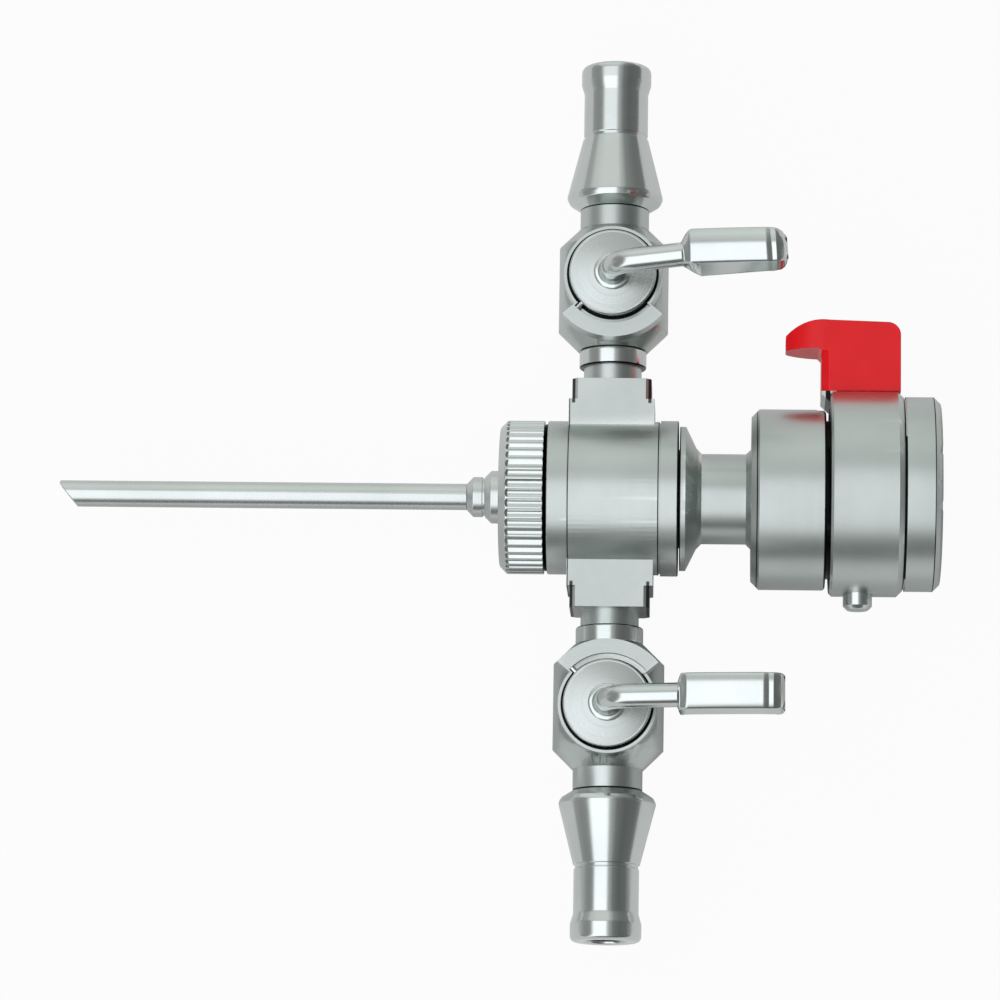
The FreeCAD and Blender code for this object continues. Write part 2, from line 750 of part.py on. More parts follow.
def thumb_pad():
    # Side outline of the pad, rounded off in plan at the nose
    front_x = ring_front_x - pad_overhang
    rear_x = ring_rear_x - pad_rear_inset
    nose_x = front_x - pad_nose_reach
    foot_y = ring_r - ring_seat_drop
    top_y = foot_y + pad_height
    under_y = foot_y + pad_nose_underside
    tip_high_y = under_y + pad_nose_front_height
    crown_x = front_x + pad_edge
    rear_crown = V(rear_x - pad_crown_back, top_y - pad_crown_slope, 0)
    corner_inset = pad_crown_back * (1 - math.sqrt(0.5))
    rear_turn = V(rear_x - corner_inset, rear_crown.y - corner_inset, 0)
    rear_low = V(rear_x, rear_crown.y - pad_crown_back, 0)
    bulge = V((nose_x + crown_x) / 2, (tip_high_y + top_y) / 2 + pad_nose_bulge, 0)
    corners = [rear_low, V(rear_x, foot_y, 0), V(front_x, foot_y, 0), V(front_x, under_y - pad_nose_root, 0),
               V(front_x - pad_nose_root, under_y, 0), V(nose_x, under_y, 0), V(nose_x, tip_high_y, 0)]
    edges = [Part.LineSegment(a, b) for a, b in zip(corners, corners[1:])]
    edges.append(Part.Arc(corners[-1], bulge, V(crown_x, top_y, 0)))
    edges.append(Part.LineSegment(V(crown_x, top_y, 0), rear_crown))
    edges.append(Part.Arc(rear_crown, rear_turn, rear_low))
    outline = Part.Wire([edge.toShape() for edge in edges])
    outline.translate(V(0, 0, -pad_depth / 2))
    body = Part.Face(outline).extrude(V(0, 0, pad_depth))
    body = body.common(plan_nose(nose_x, crown_x, rear_x, foot_y, top_y))
    body = body.cut([front_corner(side, front_x, foot_y, under_y - pad_nose_root) for side in (-1, 1)])
    body = single(body.cut(pad_screw_shapes(seated_fit)))
    body.translate(V(0, latch_rest, 0))
    return body


def front_corner(side, front_x, low_y, high_y):
    # Wedge cut off an upright front corner of the pad's block
    corner_z = side * pad_depth / 2
    corners = [V(front_x, low_y, corner_z), V(front_x + pad_edge, low_y, corner_z),
               V(front_x, low_y, corner_z - side * pad_edge)]
    return Part.Face(Part.makePolygon(corners + [corners[0]])).extrude(V(0, high_y - low_y, 0))


def plan_nose(nose_x, crown_x, rear_x, low_y, high_y):
    # Plan outline: square at the back, curving in to a blunt nose
    half = pad_depth / 2
    blunt = pad_nose_flat_share * half
    turn_x = nose_x + pad_nose_turn_share * (crown_x - nose_x)
    turn = pad_nose_turn_width * half
    edges = [
        Part.LineSegment(V(rear_x, 0, -half), V(crown_x, 0, -half)),
        Part.Arc(V(crown_x, 0, -half), V(turn_x, 0, -turn), V(nose_x, 0, -blunt)),
        Part.Arc(V(nose_x, 0, -blunt), V(nose_x - pad_nose_front_bulge, 0, 0), V(nose_x, 0, blunt)),
        Part.Arc(V(nose_x, 0, blunt), V(turn_x, 0, turn), V(crown_x, 0, half)),
        Part.LineSegment(V(crown_x, 0, half), V(rear_x, 0, half)),
        Part.LineSegment(V(rear_x, 0, half), V(rear_x, 0, -half))]
    plan = Part.Wire([edge.toShape() for edge in edges])
    plan.translate(V(0, low_y - 1, 0))
    return Part.Face(plan).extrude(V(0, high_y - low_y + 2, 0))


def collar():
    inner_r = stud_dia / 2 + seated_fit
    outer_r = collar_dia / 2
    ring = turned([
        (neck_end_y, inner_r),
        (neck_end_y, outer_r - collar_edge),
        (neck_end_y + collar_edge, outer_r),
        (collar_end_y - collar_edge, outer_r),
        (collar_end_y, outer_r - collar_edge),
        (collar_end_y, inner_r)])
    return on_y(ring, cock_x)


def neck_seal():
    # Flat gasket between the stud's end and the floor of the barrel's inlet
    start_y = neck_end_y + stud_length + seated_fit
    ring = turned([(start_y, neck_port_dia / 2), (start_y, stud_dia / 2),
                   (start_y + neck_seal_thickness, stud_dia / 2),
                   (start_y + neck_seal_thickness, neck_port_dia / 2)])
    return on_y(ring, cock_x)


def sector_about_plug(inner_r, outer_r, low_z, high_z, half_angle):
    # Ring sector about the plug's axis, its middle towards the drum
    ring = Part.makeCylinder(outer_r, high_z - low_z, V(0, 0, low_z), V(0, 0, 1), 2 * half_angle)
    ring.rotate(V(0, 0, 0), V(0, 0, 1), -90 - half_angle)
    hole = Part.makeCylinder(inner_r, high_z - low_z + 2, V(0, 0, low_z - 1), V(0, 0, 1))
    sector = ring.cut(hole)
    sector.translate(V(cock_x, plug_y, 0))
    return sector


def stop_pin_half_angle():
    return math.degrees(math.asin((stop_pin_dia / 2 + turning_fit) / disc_recess_r))


def stop_slot_r():
    return disc_r + stop_pin_reach + turning_fit


def plug_r_at(z):
    # Radius of the tapered plug at a height
    length = disc_under_z - foot_z
    return plug_top_dia / 2 - plug_taper * (disc_under_z - z) / length


def cock_body():
    # Barrel on Y, lip and quarter stop on top, foot boss under it, outlet neck outwards
    end_r = barrel_r - barrel_chamfer
    barrel = turned([
        (barrel_start_y, 0),
        (barrel_start_y, end_r),
        (barrel_start_y + barrel_chamfer, barrel_r),
        (barrel_end_y - barrel_chamfer, barrel_r),
        (barrel_end_y, end_r),
        (barrel_end_y, outer_neck_dia / 2),
        (outer_neck_end_y, outer_neck_dia / 2),
        (outer_neck_end_y, 0)])
    barrel = on_y(barrel, cock_x)
    lip = Part.makeCylinder(disc_recess_r + lip_wall, lip_top_z, V(cock_x, plug_y, 0))
    foot = Part.makeCylinder(foot_boss_dia / 2, -foot_z, V(cock_x, plug_y, foot_z))
    half_stop = lever_turn / 2 + stop_pin_half_angle() + stop_wall_angle
    slot_floor_z = disc_top_z - (disc_thickness + stop_slot_depth) / 2
    sector = sector_about_plug(disc_recess_r - 1, barrel_r + stop_sector_reach,
                               disc_under_z - stop_slot_depth, lip_top_z + stop_sector_rise, half_stop)
    recess = Part.makeCylinder(disc_recess_r, lip_top_z - disc_under_z + 2,
                               V(cock_x, plug_y, disc_under_z - face_gap))
    slot = sector_about_plug(disc_recess_r - 1, stop_slot_r(), slot_floor_z,
                             disc_top_z + 1, lever_turn / 2 + stop_pin_half_angle())
    cone = Part.makeCone(plug_r_at(foot_z) + turning_fit, plug_r_at(disc_under_z) + turning_fit,
                         disc_under_z - foot_z, V(cock_x, plug_y, foot_z))
    inlet = rod(stud_dia / 2 + seated_fit, V(cock_x, barrel_start_y - 1, 0),
                V(cock_x, neck_end_y + stud_length + neck_seal_thickness + 2 * seated_fit, 0))
    passage = rod(cock_port_dia / 2, V(cock_x, barrel_start_y, 0), V(cock_x, outer_neck_end_y + 1, 0))
    outlet = rod(barb_spigot_dia / 2 + seated_fit, V(cock_x, outer_neck_end_y + 1, 0),
                 V(cock_x, outer_neck_end_y - barb_spigot_length - seated_fit, 0))
    body = barrel.fuse([lip, foot, sector])
    return single(body.cut([recess, slot, cone, inlet, passage, outlet]))


def plug():
    # Tapered plug with its disc, cross port and threaded tail; closed when the lever lies along X
    tail_end_z = keeper_bottom_z() - spring_washer_rise - cap_nut_height
    tail_r = tail_dia / 2
    body = turned([
        (tail_end_z, 0),
        (tail_end_z, tail_r),
        (foot_z, tail_r),
        (foot_z, plug_r_at(foot_z)),
        (disc_under_z, plug_r_at(disc_under_z)),
        (disc_under_z, disc_r),
        (disc_top_z - disc_edge, disc_r),
        (disc_top_z, disc_r - disc_edge),
        (disc_top_z, 0)])
    body = on_z(body, cock_x, plug_y)
    port = rod(cock_port_dia / 2, V(cock_x - disc_r - 1, plug_y, 0), V(cock_x + disc_r + 1, plug_y, 0))
    lever_hole = Part.makeCylinder(rod_spigot_dia / 2 + seated_fit, rod_spigot_depth + seated_fit + 1,
                                   V(cock_x, plug_y, disc_top_z - rod_spigot_depth - seated_fit))
    pin_hole = stop_pin_bar(stop_pin_dia / 2 + seated_fit, disc_r + 1)
    return single(body.cut([port, lever_hole, pin_hole]))


def stop_pin_bar(radius, outer_reach):
    # Radial bar through the disc's rim at the closed end of the stop slot
    z = disc_top_z - disc_thickness / 2
    inner_reach = rod_spigot_dia
    bar = rod(radius, V(inner_reach, 0, z), V(outer_reach, 0, z))
    bar.rotate(V(0, 0, 0), V(0, 0, 1), -90 - lever_turn / 2)
    bar.translate(V(cock_x, plug_y, 0))
    return bar


def stop_pin():
    return stop_pin_bar(stop_pin_dia / 2, disc_r + stop_pin_reach)


def keeper_bottom_z():
    return foot_z - face_gap - keeper_thickness


def keeper_washer():
    inner_r = tail_dia / 2 + seated_fit
    top_z = foot_z - face_gap
    ring = turned([(keeper_bottom_z(), inner_r), (keeper_bottom_z(), keeper_dia / 2),
                   (top_z, keeper_dia / 2), (top_z, inner_r)])
    return on_z(ring, cock_x, plug_y)


def spring_washer():
    # Coned disc spring that draws the plug down into its taper
    inner_r = tail_dia / 2 + seated_fit
    outer_r = spring_washer_dia / 2
    top_z = keeper_bottom_z()
    low_z = top_z - spring_washer_rise
    ring = turned([
        (top_z, outer_r),
        (top_z - spring_washer_sheet, outer_r),
        (low_z, inner_r + spring_washer_flat),
        (low_z, inner_r),
        (low_z + spring_washer_sheet, inner_r)])
    return on_z(ring, cock_x, plug_y)


def cap_nut():
    # Round nut on the plug's tail, slotted for a two-pin key
    top_z = keeper_bottom_z() - spring_washer_rise
    low_z = top_z - cap_nut_height
    inner_r = tail_dia / 2 + seated_fit
    outer_r = cap_nut_dia / 2
    nut = turned([
        (low_z, inner_r),
        (low_z, outer_r - cap_nut_edge),
        (low_z + cap_nut_edge, outer_r),
        (top_z, outer_r),
        (top_z, inner_r)])
    nut = on_z(nut, cock_x, plug_y)
    slot = block(cock_x - cap_nut_slot_width / 2, cock_x + cap_nut_slot_width / 2,
                 plug_y - outer_r - 1, plug_y + outer_r + 1, low_z - 1, low_z + cap_nut_slot_depth)
    return single(nut.cut(slot))


def paddle_plan():
    # Plan outline: tapered neck, straight sides, rounded corners at the tip
    end_x = paddle_start + paddle_length
    shoulder_x = paddle_start + paddle_neck
    half = paddle_width / 2
    neck_half = rod_dia / 2
    corner = paddle_corner
    inset = corner * (1 - math.sqrt(0.5))
    low = -paddle_thickness
    edges = [
        Part.LineSegment(V(paddle_start, -neck_half, low), V(shoulder_x, -half, low)),
        Part.LineSegment(V(shoulder_x, -half, low), V(end_x - corner, -half, low)),
        Part.Arc(V(end_x - corner, -half, low), V(end_x - inset, inset - half, low),
                 V(end_x, corner - half, low)),
        Part.LineSegment(V(end_x, corner - half, low), V(end_x, half - corner, low)),
        Part.Arc(V(end_x, half - corner, low), V(end_x - inset, half - inset, low),
                 V(end_x - corner, half, low)),
        Part.LineSegment(V(end_x - corner, half, low), V(shoulder_x, half, low)),
        Part.LineSegment(V(shoulder_x, half, low), V(paddle_start, neck_half, low)),
        Part.LineSegment(V(paddle_start, neck_half, low), V(paddle_start, -neck_half, low))]
    outline = Part.Wire([edge.toShape() for edge in edges])
    return Part.Face(outline).extrude(V(0, 0, 2 * paddle_thickness))


def paddle():
    # Faceted finger plate on the rod's own axis: its plan, cut to a bevelled section and side view
    end_x = paddle_start + paddle_length
    half = paddle_width / 2
    half_thick = paddle_thickness / 2
    edge = half_thick - paddle_bevel
    neck_end_x = paddle_start + paddle_neck + paddle_bevel
    section = [(half, -edge), (half, edge), (half - paddle_bevel, half_thick),
               (paddle_bevel - half, half_thick), (-half, edge), (-half, -edge),
               (paddle_bevel - half, -half_thick), (half - paddle_bevel, -half_thick)]
    corners = [V(paddle_start, y, z) for y, z in section]
    bar = Part.Face(Part.makePolygon(corners + [corners[0]])).extrude(V(paddle_length, 0, 0))
    side = [(paddle_start, -rod_dia / 2), (neck_end_x, -half_thick), (end_x - paddle_bevel, -half_thick),
            (end_x, -edge), (end_x, edge), (end_x - paddle_bevel, half_thick),
            (neck_end_x, half_thick), (paddle_start, rod_dia / 2)]
    profile = slab(side, 2 * paddle_width)
    profile.rotate(V(0, 0, 0), V(1, 0, 0), 90)
    return single(paddle_plan().common(bar).common(profile))


def lever():
    # Upright stem, bend and arm in one round bar, with a foot on the disc and the paddle
    rod_r = rod_dia / 2
    stem_top = rod_z - rod_bend
    foot_top_z = disc_top_z + lever_foot_height
    foot_edge = lever_foot_height / 2
    foot_r = lever_foot_dia / 2
    foot = turned([
        (disc_top_z - rod_spigot_depth, 0),
        (disc_top_z - rod_spigot_depth, rod_spigot_dia / 2),
        (disc_top_z, rod_spigot_dia / 2),
        (disc_top_z, foot_r),
        (foot_top_z - foot_edge, foot_r),
        (foot_top_z, foot_r - foot_edge),
        (foot_top_z, 0)])
    foot.rotate(V(0, 0, 0), V(0, 1, 0), -90)
    stem = rod(rod_r, V(0, 0, disc_top_z), V(0, 0, stem_top))
    elbow_section = Part.Face(Part.Wire(Part.makeCircle(rod_r, V(0, 0, stem_top), V(0, 0, 1))))
    elbow = elbow_section.revolve(V(rod_bend, 0, stem_top), V(0, 1, 0), 90)
    arm = rod(rod_r, V(rod_bend, 0, rod_z), V(paddle_start + paddle_neck, 0, rod_z))
    plate = paddle()
    plate.translate(V(0, 0, rod_z))
    whole = single(foot.fuse([stem, elbow, arm, plate]))
    whole.translate(V(cock_x, plug_y, 0))
    return whole


def hose_barb():
    # Screwed spigot, rounded shoulder, long cone, pipe and end bead
    bore_r = barb_bore / 2
    pipe_r = barb_pipe_dia / 2
    bead_r = pipe_r + barb_bead_step
    base_r = barb_base_dia / 2
    base_y = outer_neck_end_y + barb_base_rise
    spigot_r = barb_spigot_dia / 2
    barb = turned([
        (outer_neck_end_y - barb_spigot_length, bore_r),
        (outer_neck_end_y - barb_spigot_length, spigot_r),
        (outer_neck_end_y, spigot_r),
        (outer_neck_end_y, outer_neck_dia / 2),
        (base_y - barb_base_round, base_r - barb_base_round / 2),
        (base_y, base_r),
        (barb_cone_end_y, pipe_r),
        (bead_start_y, pipe_r),
        (bead_start_y + barb_bead_step, bead_r),
        (barb_end_y, bead_r),
        (barb_end_y, bore_r)])
    barb = on_y(barb, 0)
    up = V(0, 1, 0)
    barb = barb.makeFillet(barb_base_round, circles_at(barb, base_r, base_y, up))
    barb = barb.makeFillet(barb_bead_round, circles_at(barb, bead_r, barb_end_y, up))
    barb.translate(V(cock_x, 0, 0))
    return barb


def stopcock_pieces():
    return {
        "collar": collar(),
        "neck_seal": neck_seal(),
        "cock_body": cock_body(),
        "plug": plug(),
        "stop_pin": stop_pin(),
        "keeper_washer": keeper_washer(),
        "spring_washer": spring_washer(),
        "cap_nut": cap_nut(),
        "lever": lever(),
        "hose_barb": hose_barb()}


def both_stopcocks():
    # The lower stopcock mirrors the upper one; each lever then gets its lean about its plug
    pieces = {}
    for name, shape in stopcock_pieces().items():
        upper = shape
        lower = shape.mirror(V(0, 0, 0), V(0, 1, 0))
        if name == "lever":
            upper.rotate(V(cock_x, plug_y, 0), V(0, 0, 1), lever_lean)
            lower.rotate(V(cock_x, -plug_y, 0), V(0, 0, 1), lever_lean)
        pieces["upper_" + name] = upper
        pieces["lower_" + name] = lower
    return pieces


def centre_pieces():
    return {
        "sheath_tube": sheath_tube(),
        "tube_ferrule": tube_ferrule(),
        "knurled_nut": knurled_nut(),
        "swivel_core": swivel_core(),
        "front_swivel_oring": swivel_oring(oring_places()[0]),
        "rear_swivel_oring": swivel_oring(oring_places()[1]),
        "swivel_drum": swivel_drum(),
        "coupling_body": coupling_body(),
        "scope_seal": scope_seal(),
        "seal_nut": seal_nut()}


def latch_pieces():
    return {
        "lock_ring": lock_ring(),
        "latch_cover": latch_cover(),
        "cover_screws": raised(cover_screw_shapes(0)),
        "thumb_pad": thumb_pad(),
        "pad_screws": raised(pad_screw_shapes(0)),
        "latch_springs": Part.makeCompound([spring_coil(-spring_spread), spring_coil(spring_spread)]),
        "guide_pin": guide_pin()}


def main():
    os.makedirs("parts", exist_ok=True)
    pieces = centre_pieces()
    pieces.update(latch_pieces())
    pieces.update(both_stopcocks())
    for name, shape in pieces.items():
        shape.exportStep("parts/" + name + ".step")
    print(len(pieces), "pieces written")


main()
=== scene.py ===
import bpy
import bmesh
import json
import math
from mathutils import Euler, Matrix, Vector

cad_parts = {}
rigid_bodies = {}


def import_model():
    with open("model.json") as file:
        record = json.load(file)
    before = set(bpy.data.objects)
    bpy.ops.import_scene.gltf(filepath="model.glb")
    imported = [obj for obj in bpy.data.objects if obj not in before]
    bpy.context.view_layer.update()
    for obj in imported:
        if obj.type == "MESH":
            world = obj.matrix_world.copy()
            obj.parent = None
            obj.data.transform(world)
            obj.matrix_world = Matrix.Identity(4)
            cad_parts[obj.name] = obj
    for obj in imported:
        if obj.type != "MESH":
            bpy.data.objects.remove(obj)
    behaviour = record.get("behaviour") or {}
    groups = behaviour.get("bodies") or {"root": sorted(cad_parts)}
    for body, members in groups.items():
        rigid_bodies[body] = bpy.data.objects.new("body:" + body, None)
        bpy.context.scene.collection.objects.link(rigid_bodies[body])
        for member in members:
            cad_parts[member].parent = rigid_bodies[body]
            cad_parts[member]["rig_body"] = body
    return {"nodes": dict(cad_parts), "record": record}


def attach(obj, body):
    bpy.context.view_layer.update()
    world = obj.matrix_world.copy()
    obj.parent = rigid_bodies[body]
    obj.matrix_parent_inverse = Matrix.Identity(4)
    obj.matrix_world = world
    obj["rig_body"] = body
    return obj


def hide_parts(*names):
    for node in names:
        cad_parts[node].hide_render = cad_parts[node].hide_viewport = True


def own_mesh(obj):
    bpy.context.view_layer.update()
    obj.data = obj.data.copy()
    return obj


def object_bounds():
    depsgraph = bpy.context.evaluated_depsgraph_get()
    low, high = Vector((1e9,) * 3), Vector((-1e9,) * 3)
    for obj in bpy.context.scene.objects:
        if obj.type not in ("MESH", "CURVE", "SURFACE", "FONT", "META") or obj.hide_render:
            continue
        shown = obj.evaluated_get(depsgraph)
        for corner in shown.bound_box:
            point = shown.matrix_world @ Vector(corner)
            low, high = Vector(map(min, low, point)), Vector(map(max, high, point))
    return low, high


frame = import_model()
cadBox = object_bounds()

mm = 0.001
cockX = -32.0      # both stopcocks stand at this x, mm
plugY = 32.9       # plug axis from the tube's axis, mm
noiseSpan = (0.3, 0.7)     # where nearly all of a noise texture's values lie
weldReach = 0.0000005      # points of a turned skin closer than this become one, metres
sliver = 0.0000004         # edges shorter than this go, metres


def addNode(tree, kind, spot=(0, 0), **settings):
    node = tree.nodes.new(kind)
    node.location = spot
    for key, value in settings.items():
        setattr(node, key, value)
    return node


def wire(tree, *pairs):
    for source, target in pairs:
        tree.links.new(source, target)


def setSockets(tree, node, values):
    # a number is set on the socket, anything else is linked to it
    for socket, value in zip(node.inputs, values):
        if isinstance(value, (int, float)):
            socket.default_value = value
        else:
            wire(tree, (value, socket))


def mathNode(tree, operation, first, second=None, clamp=False):
    node = addNode(tree, "ShaderNodeMath", operation=operation, use_clamp=clamp)
    setSockets(tree, node, (first,) if second is None else (first, second))
    return node.outputs[0]


def rangeNode(tree, value, lowIn, highIn, lowOut, highOut, smooth=False):
    node = addNode(tree, "ShaderNodeMapRange")
    if smooth:
        node.interpolation_type = "SMOOTHSTEP"
    setSockets(tree, node, (value, lowIn, highIn, lowOut, highOut))
    return node.outputs[0]


def mixNode(tree, first, second, factor, blend="MIX"):
    node = addNode(tree, "ShaderNodeMix", data_type="RGBA", blend_type=blend)
    for label, value in (("Factor", factor), ("A", first), ("B", second)):
        if isinstance(value, (int, float)):
            node.inputs[label].default_value = value
        elif isinstance(value, tuple):
            node.inputs[label].default_value = (*value, 1)
        else:
            wire(tree, (value, node.inputs[label]))
    return node.outputs["Result"]


def newGroup(name, inputs, outputs, kind="ShaderNodeTree"):
    # inputs are (label, socket type) or (label, socket type, default), outputs are (label, socket type)
    tree = bpy.data.node_groups.new(name, kind)
    for label, socketType, *default in inputs:
        socket = tree.interface.new_socket(name=label, in_out="INPUT", socket_type=socketType)
        if default:
            socket.default_value = default[0]
    for label, socketType in outputs:
        tree.interface.new_socket(name=label, in_out="OUTPUT", socket_type=socketType)
    return tree, addNode(tree, "NodeGroupInput", (-900, 0)), addNode(tree, "NodeGroupOutput", (900, 0))


def makeLatheMarks():
    # fine rings left by the lathe: they follow the radius and the place along the axis, never the angle
    tree, given, out = newGroup(
        "latheMarks",
        [("Vector", "NodeSocketVector"), ("Ring Scale", "NodeSocketFloat", 4000.0),
         ("Broad Scale", "NodeSocketFloat", 600.0), ("Broad Share", "NodeSocketFloat", 0.35)],
        [("Rings", "NodeSocketFloat")])
    parts = addNode(tree, "ShaderNodeSeparateXYZ")
    wire(tree, (given.outputs["Vector"], parts.inputs[0]))
    squareY = mathNode(tree, "MULTIPLY", parts.outputs[1], parts.outputs[1])
    squareZ = mathNode(tree, "MULTIPLY", parts.outputs[2], parts.outputs[2])
    radius = mathNode(tree, "SQRT", mathNode(tree, "ADD", squareY, squareZ))
    flat = addNode(tree, "ShaderNodeCombineXYZ")
    wire(tree, (parts.outputs[0], flat.inputs[0]), (radius, flat.inputs[1]))
    layers = []
    for label, detail in (("Ring Scale", 2.0), ("Broad Scale", 1.0)):
        noise = addNode(tree, "ShaderNodeTexNoise", noise_dimensions="2D")
        noise.inputs["Detail"].default_value = detail
        wire(tree, (flat.outputs[0], noise.inputs["Vector"]), (given.outputs[label], noise.inputs["Scale"]))
        layers.append(noise.outputs[0])
    share = given.outputs["Broad Share"]
    fine = mathNode(tree, "MULTIPLY", layers[0], mathNode(tree, "SUBTRACT", 1.0, share))
    rings = mathNode(tree, "ADD", fine, mathNode(tree, "MULTIPLY", layers[1], share))
    wire(tree, (rings, out.inputs["Rings"]))
    return tree


def makeMottle():
    # slow clouding of the finish with a fine grain on it
    tree, given, out = newGroup(
        "finishMottle",
        [("Vector", "NodeSocketVector"), ("Cloud Scale", "NodeSocketFloat", 90.0),
         ("Grain Scale", "NodeSocketFloat", 2600.0)],
        [("Cloud", "NodeSocketFloat"), ("Grain", "NodeSocketFloat")])
    for label, output, detail in (("Cloud Scale", "Cloud", 4.0), ("Grain Scale", "Grain", 2.0)):
        noise = addNode(tree, "ShaderNodeTexNoise")
        noise.inputs["Detail"].default_value = detail
        wire(tree, (given.outputs["Vector"], noise.inputs["Vector"]),
             (given.outputs[label], noise.inputs["Scale"]), (noise.outputs[0], out.inputs[output]))
    return tree


def makeEdgeHighlightAndPolish():
    # sharp edges painted lighter as a highlight, and made less rough as if polished: a mask from the surface's own
    # sharpness
    tree, given, out = newGroup(
        "edgeHighlightAndPolish",
        [("From", "NodeSocketFloat", 0.56), ("To", "NodeSocketFloat", 0.66)],
        [("Mask", "NodeSocketFloat")])
    geometry = addNode(tree, "ShaderNodeNewGeometry")
    mask = rangeNode(tree, geometry.outputs["Pointiness"], given.outputs["From"], given.outputs["To"],
                     0.0, 1.0, True)
    wire(tree, (mask, out.inputs["Mask"]))
    return tree


def makeSeamShade():
    # painted shade in a seam between two pieces, given by its place and half its width
    tree, given, out = newGroup(
        "seamShade",
        [("Along", "NodeSocketFloat", 0.0), ("Place", "NodeSocketFloat", 0.0),
         ("Half Width", "NodeSocketFloat", 0.0001), ("Softness", "NodeSocketFloat", 0.00008)],
        [("Mask", "NodeSocketFloat")])
    off = mathNode(tree, "ABSOLUTE", mathNode(tree, "SUBTRACT", given.outputs["Along"], given.outputs["Place"]))
    end = mathNode(tree, "ADD", given.outputs["Half Width"], given.outputs["Softness"])
    wire(tree, (rangeNode(tree, off, given.outputs["Half Width"], end, 1.0, 0.0, True), out.inputs["Mask"]))
    return tree


latheMarks = makeLatheMarks()
finishMottle = makeMottle()
edgeHighlightAndPolish = makeEdgeHighlightAndPolish()
seamShade = makeSeamShade()


def placeGroup(tree, group, **values):
    node = addNode(tree, "ShaderNodeGroup")
    node.node_tree = group
    for label, value in values.items():
        node.inputs[label.replace("_", " ")].default_value = value
    return node


def newMaterial(name):
    material = bpy.data.materials.new(name)
    material.use_nodes = True
    tree = material.node_tree
    return material, tree, tree.nodes["Principled BSDF"], addNode(tree, "ShaderNodeTexCoord")


def noiseRange(tree, value, low, high):
    return rangeNode(tree, value, noiseSpan[0], noiseSpan[1], low, high)


def addBump(tree, shader, relief, strength, height):
    bump = addNode(tree, "ShaderNodeBump")
    bump.inputs["Strength"].default_value = strength
    bump.inputs["Distance"].default_value = height
    wire(tree, (relief, bump.inputs["Height"]), (bump.outputs[0], shader.inputs["Normal"]))


# turns a piece's own axis onto X for the lathe marks
axisTurn = {"X": (0, 0, 0), "Y": (0, 0, -math.pi / 2), "Z": (0, math.pi / 2, 0)}


def paintedEarStepShade(tree, parts, outward, ears):
    # painted shade on the step along each side of the drum's ears
    aside = mathNode(tree, "ABSOLUTE", mathNode(tree, "SUBTRACT", parts.outputs[0], cockX * mm))
    blur = 0.05
    inner = rangeNode(tree, aside, (ears["side"] - blur) * mm, ears["side"] * mm, 0.0, 1.0)
    outer = rangeNode(tree, aside, (ears["foot"] - blur) * mm, ears["foot"] * mm, 1.0, 0.0)
    below = rangeNode(tree, outward, (ears["from"] - 2 * blur) * mm, (ears["from"] + 2 * blur) * mm,
                      0.0, ears["share"])
    return mathNode(tree, "MULTIPLY", mathNode(tree, "MULTIPLY", inner, outer), below)


def paintedShadeMask(tree, place, seams, rings, plug, ears):
    # painted shade in seams across the tube's axis, in rings round the outlets, in the ring round a plug's disc and on
    # the ears' side steps
    parts = addNode(tree, "ShaderNodeSeparateXYZ")
    wire(tree, (place, parts.inputs[0]))
    outward = mathNode(tree, "ABSOLUTE", parts.outputs[1])
    spots = [(parts.outputs[0], x, half) for x, half in seams] + [(outward, y, half) for y, half in rings]
    if plug:
        spots.append((plugDistance(tree, parts, plug), plug["r"], plug["half"]))
    masks = []
    for source, where, half in spots:
        shade = placeGroup(tree, seamShade, Place=where * mm, Half_Width=half * mm)
        wire(tree, (source, shade.inputs["Along"]))
        masks.append(shade.outputs[0])
    if ears:
        masks.append(paintedEarStepShade(tree, parts, outward, ears))
    widest = masks[0]
    for mask in masks[1:]:
        widest = mathNode(tree, "MAXIMUM", widest, mask)
    return widest


def plugDistance(tree, parts, plug):
    offX = mathNode(tree, "SUBTRACT", parts.outputs[0], plug["centre"][0] * mm)
    offY = mathNode(tree, "SUBTRACT", parts.outputs[1], plug["centre"][1] * mm)
    reach = mathNode(tree, "SQRT", mathNode(tree, "ADD", mathNode(tree, "MULTIPLY", offX, offX),
                                            mathNode(tree, "MULTIPLY", offY, offY)))
    # only on top of the barrel: lower down the ring is put out of reach
    low, high = plug["fromZ"]
    return mathNode(tree, "ADD", reach, rangeNode(tree, parts.outputs[2], low * mm, high * mm, 1.0, 0.0))


